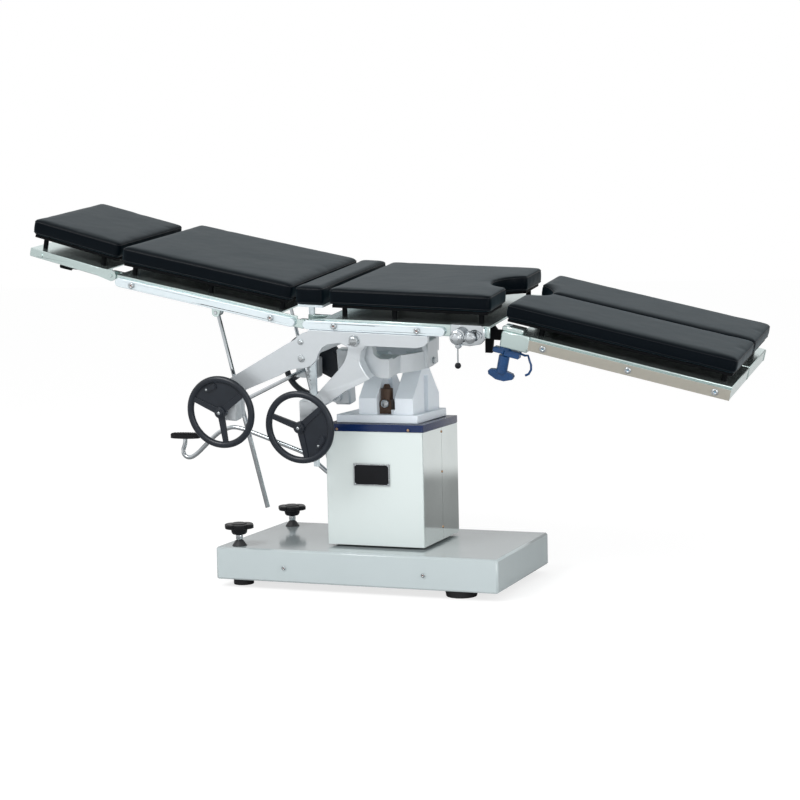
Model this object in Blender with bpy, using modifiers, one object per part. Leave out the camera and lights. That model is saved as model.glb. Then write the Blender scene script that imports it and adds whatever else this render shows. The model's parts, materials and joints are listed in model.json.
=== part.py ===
"""Manual operating table with handwheels, a pump column and folding sections.

Metres, +X towards the leg end, +Y to the patient's far side, +Z up.  The table
top stands as set for use: rolled a little to one side, legs a little down,
back and head raised.  Each turning or sliding group hangs on an empty that
lies on its axis, and the groups are nested as they are on the real table.
"""

from math import atan2, cos, pi, radians, sin, sqrt

import bmesh
import bpy
from mathutils import Matrix, Vector

# Driving sizes of the stand
BASE_LENGTH = 0.800
BASE_WIDTH = 0.444
BASE_TOP = 0.109
BASE_CLEAR = 0.020
COLUMN_LENGTH = 0.2765
COLUMN_WIDTH = 0.268
COLUMN_SHIFT = 0.0313
COVER_TOP = 0.4196
TRIM_HEIGHT = 0.0200
PLATE_HEIGHT = 0.0227
PLATE_LENGTH = 0.2323
PLATE_WIDTH = 0.2228

# Driving sizes of the table top
TOP_HALF_WIDTH = 0.2352
RAIL_STEP = 0.0106
PAD_HALF_WIDTH = 0.2310
STUD_INSET = 0.0310
HEAD_PAD_HALF_WIDTH = 0.1880
PAD_TOP = 0.0938

# Where the axes lie
ROLL_AXIS_HEIGHT = 0.600
PITCH_AXIS_RISE = 0.102
PITCH_AXIS_SHIFT = 0.0057
BACK_AXIS_REACH = 0.1575
RAIL_LINE = 0.0340
HEAD_AXIS_REACH = 0.5860
LEG_AXIS_REACH = 0.4000
LEG_AXIS_DROP = 0.0100

# How the table stands, in degrees
ROLL_SET = 7.65
PITCH_SET = 3.06
BACK_SET = 9.46
HEAD_SET = 3.10
LEG_SET = 10.66

# Clearances
GAP = 0.0003
BORE_CLEARANCE = 0.0003
OVERRUN = 0.004

# Sides of round shapes
FINE_SIDES = 28
ROUND_SIDES = 16
SMALL_SIDES = 8
HEAD_SIDES = 8

SMOOTH_ANGLE = radians(35)
MERGE_DISTANCE = 0.00001

NEAR, FAR = -1, 1
SIDE_NAMES = {NEAR: "left", FAR: "right"}

PARTS = "operating_table"
CUTTERS = "cutters"


# Scene, collections and materials

def clear_scene():
    for old in list(bpy.data.objects):
        bpy.data.objects.remove(old, do_unlink=True)


def collection(name):
    found = bpy.data.collections.get(name)
    if found is None:
        found = bpy.data.collections.new(name)
        bpy.context.scene.collection.children.link(found)
    return found


def material(name, colour, metallic, roughness):
    made = bpy.data.materials.new(name)
    made.use_nodes = True
    shader = made.node_tree.nodes["Principled BSDF"]
    shader.inputs["Base Color"].default_value = (*colour, 1.0)
    shader.inputs["Metallic"].default_value = metallic
    shader.inputs["Roughness"].default_value = roughness
    made.diffuse_color = (*colour, 1.0)
    made.metallic = metallic
    made.roughness = roughness
    return made


def make_materials():
    return {
        "painted_cover": material("painted_cover", (0.60, 0.63, 0.64), 0.0, 0.28),
        "blue_trim": material("blue_trim", (0.012, 0.018, 0.12), 0.0, 0.30),
        "steel_sheet": material("steel_sheet", (0.66, 0.69, 0.69), 1.0, 0.32),
        "rail_steel": material("rail_steel", (0.74, 0.78, 0.80), 1.0, 0.22),
        "cast_frame": material("cast_frame", (0.52, 0.55, 0.58), 0.6, 0.38),
        "chrome": material("chrome", (0.80, 0.82, 0.84), 1.0, 0.10),
        "zinc": material("zinc", (0.62, 0.64, 0.66), 1.0, 0.30),
        "grey_tube": material("grey_tube", (0.36, 0.40, 0.44), 0.5, 0.40),
        "dark_casting": material("dark_casting", (0.20, 0.21, 0.22), 0.5, 0.45),
        "wheel_plastic": material("wheel_plastic", (0.035, 0.042, 0.050), 0.0, 0.38),
        "black_rubber": material("black_rubber", (0.012, 0.012, 0.013), 0.0, 0.65),
        "cushion_leather": material("cushion_leather", (0.018, 0.024, 0.028), 0.0, 0.42),
        "board": material("board", (0.010, 0.010, 0.012), 0.0, 0.55),
        "clamp_blue": material("clamp_blue", (0.010, 0.070, 0.26), 0.2, 0.35),
        "nameplate": material("nameplate", (0.02, 0.02, 0.022), 0.3, 0.40),
        "iron": material("iron", (0.12, 0.12, 0.13), 0.7, 0.60),
    }


# Frames

def frame(name, parent, place=(0.0, 0.0, 0.0), turn=(0.0, 0.0, 0.0)):
    """An empty on an axis. Pieces under it are drawn in its own axes."""
    made = bpy.data.objects.new(name, None)
    made.empty_display_size = PAD_TOP
    made.location = place
    made.rotation_euler = turn
    made.parent = parent
    collection(PARTS).objects.link(made)
    return made


# Shapes. Each returns a mesh object that hangs on a frame.

def hang(made, holder, paint):
    made.parent = holder
    if paint is not None:
        made.data.materials.append(paint)
    collection(PARTS).objects.link(made)
    return made


def from_bmesh(name, bm, holder, paint, smooth=True):
    mesh = bpy.data.meshes.new(name)
    bmesh.ops.recalc_face_normals(bm, faces=bm.faces)
    bm.to_mesh(mesh)
    bm.free()
    if smooth:
        mesh.shade_smooth()
        mesh.set_sharp_from_angle(angle=SMOOTH_ANGLE)
    return hang(bpy.data.objects.new(name, mesh), holder, paint)


def round_edges(made, width, segments=1):
    edge = made.modifiers.new("round_edges", "BEVEL")
    edge.width = width
    edge.segments = segments
    edge.limit_method = "ANGLE"
    edge.angle_limit = SMOOTH_ANGLE
    return made


def box(name, holder, paint, low, high, rounding=0.0, segments=1):
    low, high = Vector(low), Vector(high)
    bm = bmesh.new()
    place = Matrix.Translation((low + high) / 2)
    bmesh.ops.create_cube(bm, size=1.0, matrix=place @ Matrix.Diagonal((*(high - low), 1.0)))
    made = from_bmesh(name, bm, holder, paint, smooth=False)
    if rounding > 0.0:
        round_edges(made, rounding, segments)
    return made


def along(start, end):
    """A matrix that lays a shape drawn along Z from start to end."""
    start, end = Vector(start), Vector(end)
    turn = (end - start).to_track_quat("Z", "Y").to_matrix().to_4x4()
    return Matrix.Translation((start + end) / 2) @ turn


def rod(name, holder, paint, start, end, radius, end_radius=None, sides=ROUND_SIDES):
    """A round bar, or a cone where the end radius differs."""
    bm = bmesh.new()
    bmesh.ops.create_cone(
        bm,
        cap_ends=True,
        segments=sides,
        radius1=radius,
        radius2=radius if end_radius is None else end_radius,
        depth=(Vector(end) - Vector(start)).length,
        matrix=along(start, end),
    )
    return from_bmesh(name, bm, holder, paint)


def bore(name, holder, start, end, shaft_radius, sides=ROUND_SIDES):
    """A cutter whose flats clear a round shaft that turns in it."""
    return rod(
        name, holder, None, start, end, (shaft_radius + BORE_CLEARANCE) / cos(pi / sides), sides=sides,
    )


def ball(name, holder, paint, centre, radius, sides=SMALL_SIDES):
    bm = bmesh.new()
    bmesh.ops.create_uvsphere(
        bm, u_segments=sides, v_segments=sides // 2 + 1, radius=radius,
        matrix=Matrix.Translation(centre),
    )
    return from_bmesh(name, bm, holder, paint)


def curve_to_mesh(curve_object, holder, paint):
    """The curve's evaluated mesh with its caps welded; the curve is removed."""
    collection(CUTTERS).objects.link(curve_object)
    bpy.context.view_layer.update()
    graph = bpy.context.evaluated_depsgraph_get()
    mesh = bpy.data.meshes.new_from_object(curve_object.evaluated_get(graph))
    mesh.transform(curve_object.matrix_world)
    name = curve_object.name
    bpy.data.objects.remove(curve_object, do_unlink=True)
    bm = bmesh.new()
    bm.from_mesh(mesh)
    bpy.data.meshes.remove(mesh)
    bmesh.ops.remove_doubles(bm, verts=bm.verts, dist=MERGE_DISTANCE)
    return from_bmesh(name, bm, holder, paint)


# Which way the drawing plane of an outline looks: (x, y) becomes these axes
FACING = {
    "X": Matrix(((0, 0, 1, 0), (1, 0, 0, 0), (0, 1, 0, 0), (0, 0, 0, 1))),
    "Y": Matrix(((1, 0, 0, 0), (0, 0, -1, 0), (0, 1, 0, 0), (0, 0, 0, 1))),
    "Z": Matrix.Identity(4),
}


def plate(name, holder, paint, outline, span, facing, holes=()):
    """A flat outline with its holes, filled and thickened over a span of the facing axis."""
    low, high = span
    curve = bpy.data.curves.new(name, "CURVE")
    curve.dimensions = "2D"
    curve.fill_mode = "BOTH"
    curve.extrude = (high - low) / 2
    for path in (outline, *holes):
        line = curve.splines.new("POLY")
        line.points.add(len(path) - 1)
        for point, (x, y) in zip(line.points, path):
            point.co = (x, y, 0.0, 1.0)
        line.use_cyclic_u = True
    made = bpy.data.objects.new(name, curve)
    shift = {"X": (1, 0, 0), "Y": (0, 1, 0), "Z": (0, 0, 1)}[facing]
    made.matrix_world = Matrix.Translation(Vector(shift) * (low + high) / 2) @ FACING[facing]
    return curve_to_mesh(made, holder, paint)


def tube(name, holder, paint, points, radius, resolution=2):
    """A bent tube with filled ends along the points."""
    curve = bpy.data.curves.new(name, "CURVE")
    curve.dimensions = "3D"
    curve.bevel_depth = radius
    curve.bevel_resolution = resolution
    curve.use_fill_caps = True
    line = curve.splines.new("POLY")
    line.points.add(len(points) - 1)
    for point, place in zip(line.points, points):
        point.co = (*place, 1.0)
    return curve_to_mesh(bpy.data.objects.new(name, curve), holder, paint)


def hide_cutter(cutter):
    collection(PARTS).objects.unlink(cutter)
    collection(CUTTERS).objects.link(cutter)
    cutter.hide_render = True
    cutter.display_type = "WIRE"


def combine(made, others, operation):
    for other in others:
        joint = made.modifiers.new(operation.lower(), "BOOLEAN")
        joint.operation = operation
        joint.object = other
        joint.solver = "EXACT"
        hide_cutter(other)
    return made


def fuse(made, *others):
    """One solid from a piece and the shapes that overlap it."""
    return combine(made, others, "UNION")


def cut(made, *others):
    return combine(made, others, "DIFFERENCE")


# Outlines

def arc(centre, radius, start, end, steps):
    """Points on an arc, the angles in degrees."""
    angles = [radians(start + (end - start) * step / steps) for step in range(steps + 1)]
    return [(centre[0] + radius * cos(a), centre[1] + radius * sin(a)) for a in angles]


def round_ended(start, end, half_height, steps=6):
    """A bar along X with half-round ends, drawn about the line y = 0."""
    right = arc((end - half_height, 0.0), half_height, -90, 90, steps)
    left = arc((start + half_height, 0.0), half_height, 90, 270, steps)
    return right + left


def inset_outline(outline, distance):
    """The outline moved inwards by a distance; it runs anticlockwise."""
    count = len(outline)
    moved = []
    for index, (x, y) in enumerate(outline):
        before = outline[index - 1]
        after = outline[(index + 1) % count]
        first = Vector((x - before[0], y - before[1])).normalized()
        second = Vector((after[0] - x, after[1] - y)).normalized()
        inward = Vector((-first.y - second.y, first.x + second.x))
        stretch = max(0.5, 0.5 * inward.length)
        inward = inward.normalized() / stretch
        moved.append((x + inward.x * distance, y + inward.y * distance))
    return moved


def circle(centre, radius, steps=ROUND_SIDES):
    return arc(centre, radius, 0, 360 * (steps - 1) / steps, steps - 1)


def rectangle(low, high, corner=0.0, steps=3):
    """An upright rectangle, with round corners where a corner radius is given."""
    (x0, y0), (x1, y1) = low, high
    if corner <= 0.0:
        return [(x0, y0), (x1, y0), (x1, y1), (x0, y1)]
    return (
        arc((x1 - corner, y0 + corner), corner, -90, 0, steps)
        + arc((x1 - corner, y1 - corner), corner, 0, 90, steps)
        + arc((x0 + corner, y1 - corner), corner, 90, 180, steps)
        + arc((x0 + corner, y0 + corner), corner, 180, 270, steps)
    )


def reach(side, near, far):
    """The span across the table of a piece that lies between two offsets on one side."""
    return tuple(sorted((side * near, side * far)))


def across(side, place, offset):
    """A point (along, up) of a section put at an offset across the table."""
    return (place[0], side * offset, place[1])


def cushion(name, holder, paint, outline, bottom, top):
    """A stuffed pad: drawn in under its edge, bulged sides, a sewn edge and a crown."""
    under = 0.006
    roll = 0.005
    bulge = 0.0012
    seam = 0.0010
    height = top - bottom
    rings = [
        (under, bottom),
        (under / 4, bottom + roll / 2),
        (0.0, bottom + roll),
        (-bulge, bottom + height / 2),
        (0.0, top - roll),
        (seam, top - roll * 0.75),
        (0.0, top - roll / 2),
        (roll / 2, top - roll / 4),
        (roll * 2, top - roll / 8),
        (roll * 4, top),
    ]
    bm = bmesh.new()
    loops = []
    for inset, level in rings:
        loops.append([bm.verts.new((x, y, level)) for x, y in inset_outline(outline, inset)])
    for below, above in zip(loops, loops[1:]):
        for index in range(len(outline)):
            after = (index + 1) % len(outline)
            bm.faces.new((below[index], below[after], above[after], above[index]))
    bm.faces.new(loops[0])
    bm.faces.new(loops[-1])
    return from_bmesh(name, bm, holder, paint)


# The stand

def build_base(paint, root):
    wall = 0.004
    half_length = BASE_LENGTH / 2
    half_width = BASE_WIDTH / 2
    slab_bottom, slab_top = 0.030, 0.048
    slab_margin = 0.016
    rib_thickness = 0.016
    foot_inset = 0.060
    knob_along = -0.345
    knob_across = {NEAR: -0.187, FAR: 0.152}
    stud_radius = 0.0085
    collar_radius, collar_tip = 0.0205, 0.0105
    collar_height = 0.015
    stud_top = 0.1600
    screw_place = (0.198, 0.060)
    screw_radius, screw_head = 0.005, 0.0025
    cylinder_radius, cylinder_bore = 0.0460, 0.0358
    cylinder_floor, cylinder_top = 0.066, 0.400
    boss_radius, boss_top = 0.070, 0.060
    centre = (COLUMN_SHIFT, 0.0)

    cover = box(
        "base_cover", root, paint["painted_cover"],
        (-half_length, -half_width, BASE_CLEAR), (half_length, half_width, BASE_TOP), 0.005,
    )
    hollow = box(
        "base_hollow", root, None,
        (wall - half_length, wall - half_width, BASE_CLEAR - OVERRUN),
        (half_length - wall, half_width - wall, BASE_TOP - wall),
    )
    well = rod(
        "base_well", root, None, (*centre, BASE_TOP - OVERRUN * 2), (*centre, BASE_TOP + OVERRUN),
        cylinder_radius + GAP, sides=FINE_SIDES,
    )
    holes = []
    for side in (NEAR, FAR):
        place = (knob_along, knob_across[side])
        holes.append(rod(
            "stud_hole", root, None, (*place, BASE_TOP - OVERRUN * 2), (*place, BASE_TOP + OVERRUN),
            stud_radius + GAP, sides=SMALL_SIDES,
        ))
    cut(cover, hollow, well, *holes)

    inner = half_length - slab_margin, half_width - slab_margin
    casting = box(
        "base_casting", root, paint["iron"],
        (-inner[0], -inner[1], slab_bottom), (inner[0], inner[1], slab_top), 0.003,
    )
    boss = rod("base_boss", root, None, (*centre, slab_top - OVERRUN), (*centre, boss_top), boss_radius)
    ribs = []
    for end in (-1, 1):
        middle = end * screw_place[0]
        ribs.append(box(
            "base_rib", root, None,
            (middle - rib_thickness / 2, wall + GAP - half_width, slab_bottom),
            (middle + rib_thickness / 2, half_width - wall - GAP, BASE_TOP - wall - GAP),
        ))
    fuse(casting, boss, *ribs)

    feet, studs, screws = [], [], []
    small_foot, big_foot, big_foot_tip = 0.0275, 0.0475, 0.0400
    foot_top = (slab_bottom + slab_top) / 2
    for side in (NEAR, FAR):
        head_foot = (-0.3480, side * (half_width - foot_inset))
        leg_foot = (0.2810, side * (half_width - foot_inset))
        feet.append(rod("head_foot", root, None, (*head_foot, 0.0), (*head_foot, foot_top), small_foot))
        feet.append(rod(
            "leg_foot", root, None, (*leg_foot, 0.0), (*leg_foot, foot_top), big_foot_tip, big_foot,
        ))
        place = (knob_along, knob_across[side])
        studs.append(rod(
            "lock_stud", root, None, (*place, foot_top), (*place, stud_top), stud_radius,
            sides=SMALL_SIDES,
        ))
        studs.append(rod(
            "stud_collar", root, None, (*place, BASE_TOP + GAP), (*place, BASE_TOP + collar_height),
            collar_radius, collar_tip,
        ))
        for end in (-1, 1):
            head = (end * screw_place[0], side * (half_width - wall / 2), screw_place[1])
            tip = (end * screw_place[0], side * (half_width + screw_head), screw_place[1])
            screws.append(rod(
                "base_screw", root, None, head, tip, screw_radius, screw_radius / 2, sides=HEAD_SIDES,
            ))
    fuse(casting, *feet, *studs)
    fuse(cover, *screws)

    cylinder = rod(
        "column_cylinder", root, paint["iron"], (*centre, boss_top + GAP), (*centre, cylinder_top),
        cylinder_radius, sides=FINE_SIDES,
    )
    bore = rod(
        "cylinder_bore", root, None, (*centre, cylinder_floor), (*centre, cylinder_top + OVERRUN),
        cylinder_bore, sides=FINE_SIDES,
    )
    cut(cylinder, bore)

    for side in (NEAR, FAR):
        holder = frame("turn_knob_" + SIDE_NAMES[side], root, (knob_along, knob_across[side], 0.0))
        build_knob(paint, holder, SIDE_NAMES[side], stud_radius, stud_top)


def build_knob(paint, holder, name, stud_radius, stud_top):
    """A star knob on the stud that locks the stand to the floor."""
    lobes = 6
    lobe_points = 24
    mean_radius, lobe_height = 0.0385, 0.0035
    hub_radius, hub_bottom = 0.022, 0.1370
    disc_bottom, disc_top = 0.1490, 0.1720
    dish_radius, dish_depth = 0.024, 0.003
    outline = []
    for step in range(lobe_points):
        turn = 2 * pi * step / lobe_points
        radius = mean_radius + lobe_height * cos(lobes * turn)
        outline.append((radius * cos(turn), radius * sin(turn)))
    knob = plate(
        "knob_" + name, holder, paint["wheel_plastic"], outline, (disc_bottom, disc_top), "Z",
    )
    round_edges(knob, 0.004)
    hub = rod("knob_hub", holder, None, (0, 0, hub_bottom), (0, 0, disc_bottom + OVERRUN), hub_radius)
    fuse(knob, hub)
    socket = bore(
        "knob_socket", holder, (0, 0, hub_bottom - OVERRUN), (0, 0, stud_top + GAP), stud_radius,
    )
    dish = rod(
        "knob_dish", holder, None, (0, 0, disc_top - dish_depth), (0, 0, disc_top + OVERRUN),
        dish_radius,
    )
    cut(knob, socket, dish)


PEDAL_PIN = 0.0045


def build_column(paint, lift):
    """The moving head of the column; the frame stands on the column's centre line."""
    wall = 0.004
    half_length = COLUMN_LENGTH / 2
    half_width = COLUMN_WIDTH / 2
    cover_bottom = 0.115
    overhang = 0.002
    corner = 0.004
    ram_radius, ram_bottom = 0.0355, 0.075
    slot_half, slot_bottom, slot_top = 0.009, 0.215, 0.325
    trim_bottom = COVER_TOP + GAP
    trim_top = COVER_TOP + TRIM_HEIGHT - GAP
    plate_bottom = COVER_TOP + TRIM_HEIGHT
    plate_top = plate_bottom + PLATE_HEIGHT
    plate_shift = 0.0009
    screw_radius, screw_head = 0.0035, 0.0015

    cover = plate(
        "column_cover", lift, paint["painted_cover"],
        rectangle((-half_length, -half_width), (half_length, half_width), corner),
        (cover_bottom, COVER_TOP), "Z",
    )
    inside = box(
        "cover_inside", lift, None, (wall - half_length, wall - half_width, cover_bottom - OVERRUN),
        (half_length - wall, half_width - wall, COVER_TOP + OVERRUN),
    )
    slot = box(
        "pedal_slot", lift, None,
        (-half_length - OVERRUN, -slot_half, slot_bottom),
        (wall + OVERRUN - half_length, slot_half, slot_top),
    )
    cut(cover, inside, slot)

    trim = plate(
        "column_trim", lift, paint["blue_trim"],
        rectangle(
            (-half_length - overhang, -half_width - overhang),
            (half_length + overhang, half_width + overhang), corner,
        ),
        (trim_bottom, trim_top), "Z", holes=[circle((0, 0), ram_radius + GAP, FINE_SIDES)],
    )
    rod(
        "lift_ram", lift, paint["chrome"], (0, 0, ram_bottom), (0, 0, plate_bottom - GAP), ram_radius,
        sides=FINE_SIDES,
    )

    trim_screws = []
    trim_screw_places = (-0.1033, 0.0997)
    trim_screw_height = 0.4235
    for side in (NEAR, FAR):
        face = half_width + overhang
        for along_column in trim_screw_places:
            trim_screws.append(rod(
                "trim_screw", lift, None,
                (along_column, side * (face - OVERRUN), trim_screw_height),
                (along_column, side * (face + screw_head), trim_screw_height),
                screw_radius, screw_radius / 2, sides=HEAD_SIDES,
            ))
    fuse(trim, *trim_screws)
    rivet_heights = (0.150, 0.300, 0.408)
    rivet_offset = 0.006
    fuse(cover, *[
        rod(
            "cover_rivet", lift, None, (half_length - wall / 2, rivet_offset, height),
            (half_length + screw_head, rivet_offset, height), screw_radius, screw_radius / 2,
            sides=HEAD_SIDES,
        )
        for height in rivet_heights
    ])
    name_low, name_high = (-0.0583, 0.276), (0.0447, 0.334)
    name_thickness, name_rim, name_dip = 0.0024, 0.004, 0.0008
    face = -half_width - GAP
    tag = box(
        "nameplate", lift, paint["nameplate"],
        (name_low[0], face - name_thickness, name_low[1]), (name_high[0], face, name_high[1]),
        0.0006, 1,
    )
    tag_dip = box(
        "nameplate_dip", lift, None,
        (name_low[0] + name_rim, face - name_thickness - OVERRUN, name_low[1] + name_rim),
        (name_high[0] - name_rim, face - name_thickness + name_dip, name_high[1] - name_rim),
    )
    cut(tag, tag_dip)
    tag_screw = 0.0018
    inset = name_rim + tag_screw * 2
    start = face - name_thickness / 3
    fuse(tag, *[
        rod(
            "tag_screw", lift, None, (x, start, z), (x, face - name_thickness, z), tag_screw,
            tag_screw / 2, sides=HEAD_SIDES,
        )
        for x in (name_low[0] + inset, name_high[0] - inset)
        for z in (name_low[1] + inset, name_high[1] - inset)
    ])

    # The stand of the tilting head: a plate with two slotted cheeks
    cheek_spans = ((-0.0533, -0.0023), (0.0497, 0.1007))
    cheek_half, shoulder_height = 0.100, 0.505
    neck_half, neck_height = 0.030, 0.577
    slot_width, slot_height = 0.030, 0.560
    head_radius = 0.024
    axle_radius = 0.0100
    foot_height = plate_top - OVERRUN / 2
    stand = box(
        "tilt_stand", lift, paint["cast_frame"],
        (plate_shift - PLATE_LENGTH / 2, -PLATE_WIDTH / 2, plate_bottom),
        (plate_shift + PLATE_LENGTH / 2, PLATE_WIDTH / 2, plate_top), 0.002,
    )
    cheek_outline = [
        (-cheek_half, foot_height), (-slot_width / 2, foot_height), (-slot_width / 2, slot_height),
        (slot_width / 2, slot_height), (slot_width / 2, foot_height), (cheek_half, foot_height),
        (cheek_half, shoulder_height), (neck_half, neck_height),
        *arc((0, ROLL_AXIS_HEIGHT), head_radius, -15, 195, 10),
        (-neck_half, neck_height), (-cheek_half, shoulder_height),
    ]
    cheeks = [plate("cheek", lift, None, cheek_outline, span, "X") for span in cheek_spans]
    fuse(stand, *cheeks)
    bearing = bore(
        "axle_bearing", lift, (cheek_spans[0][0] - OVERRUN, 0, ROLL_AXIS_HEIGHT),
        (cheek_spans[1][1] + OVERRUN, 0, ROLL_AXIS_HEIGHT), axle_radius,
    )
    cut(stand, bearing)

    # Bracket of the pump lever, hung under the plate inside the cover
    bracket_low, bracket_high = (-0.1270, 0.236), (-0.0900, trim_bottom - GAP)
    fork_half, fork_gap = 0.020, 0.0075
    pedal_axis = (-0.1080, 0.262)
    bracket = box(
        "pump_bracket", lift, paint["iron"],
        (bracket_low[0], -fork_half, bracket_low[1]),
        (bracket_high[0], fork_half, bracket_high[1]), 0.002,
    )
    fork = box(
        "pump_fork", lift, None,
        (bracket_low[0] - OVERRUN, -fork_gap, bracket_low[1] - OVERRUN),
        (bracket_high[0] + OVERRUN, fork_gap, slot_top + 0.030),
    )
    eye_half = 0.0185
    eye = bore(
        "pump_eye", lift, (pedal_axis[0], -fork_half - OVERRUN, pedal_axis[1]),
        (pedal_axis[0], fork_half + OVERRUN, pedal_axis[1]), PEDAL_PIN,
    )
    cut(bracket, fork, eye)
    pedal = frame("turn_pedal", lift, (pedal_axis[0], 0, pedal_axis[1]))
    build_pedal(paint, pedal, (pedal_axis[0] + COLUMN_SHIFT, pedal_axis[1]), fork_gap, eye_half)
    build_tilt_jack(paint, lift, stand)


def build_pedal(paint, pedal, axis, fork_gap, eye_half):
    """The foot lever of the pump; places are given from the column's foot."""
    tube_radius = 0.0055
    hub_radius = 0.012
    places = [
        (-0.602, 0.374), (-0.603, 0.358), (-0.611, 0.340), (-0.606, 0.324), (-0.588, 0.318),
        (-0.565, 0.331), (-0.537, 0.357), (-0.498, 0.392), (-0.470, 0.405), (-0.440, 0.411),
        (-0.383, 0.394), (-0.302, 0.366), (-0.236, 0.344), (-0.210, 0.330), (-0.180, 0.303),
        (-0.150, 0.280), (-0.110, 0.270), axis,
    ]
    points = [(x - axis[0], 0.0, z - axis[1]) for x, z in places]
    lever = tube("pedal_lever", pedal, paint["zinc"], points, tube_radius, 1)
    hub = rod("pedal_hub", pedal, None, (0, GAP - fork_gap, 0), (0, fork_gap - GAP, 0), hub_radius)
    pin = rod("pedal_pin", pedal, None, (0, -eye_half, 0), (0, eye_half, 0), PEDAL_PIN)
    fuse(lever, hub, pin)
    pad_half, pad_width, pad_thickness = 0.046, 0.022, 0.016
    top = points[0]
    pad = box(
        "pedal_pad", pedal, paint["black_rubber"],
        (top[0] - pad_half, -pad_width, top[2] + GAP),
        (top[0] + pad_half, pad_width, top[2] + GAP + pad_thickness), 0.005,
    )
    return pad


def build_tilt_jack(paint, lift, stand):
    """The jack that rolls the table, in its clevis between the near cheeks."""
    plate_top = COVER_TOP + TRIM_HEIGHT + PLATE_HEIGHT + GAP
    middle = (0.0158, -0.0700)
    ear_half, ear_depth, ear_top = 0.0170, 0.026, 0.490
    pin_radius, pin_half = 0.011, 0.0060
    barrel_radius, barrel_bottom, barrel_top, cap_top = 0.0165, 0.500, 0.530, 0.541
    near_face = middle[1] - ear_depth / 2
    outline = [
        (middle[0] - ear_half, plate_top), (middle[0] + ear_half, plate_top),
        *arc((middle[0], ear_top), ear_half, 0, 180, 8),
    ]
    clevis = plate(
        "tilt_jack", lift, paint["cast_frame"], outline, (near_face, near_face + ear_depth), "Y",
    )
    pin = rod(
        "jack_pin", lift, None, (middle[0], near_face - pin_half, ear_top),
        (middle[0], near_face + OVERRUN, ear_top), pin_radius, sides=SMALL_SIDES,
    )
    barrel = rod(
        "jack_barrel", lift, None, (*middle, barrel_bottom), (*middle, barrel_top), barrel_radius,
    )
    cap = rod(
        "jack_cap", lift, None, (*middle, barrel_top - OVERRUN), (*middle, cap_top),
        barrel_radius * 0.8,
        barrel_radius * 0.4,
    )
    fuse(clevis, pin, barrel, cap)
    bolt_place = (0.0462, -0.0870)
    bolt_radius, bolt_height = 0.012, 0.012
    fuse(stand, rod(
        "stand_bolt", lift, None, (*bolt_place, plate_top - OVERRUN),
        (*bolt_place, plate_top + bolt_height), bolt_radius, sides=6,
    ))


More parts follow.
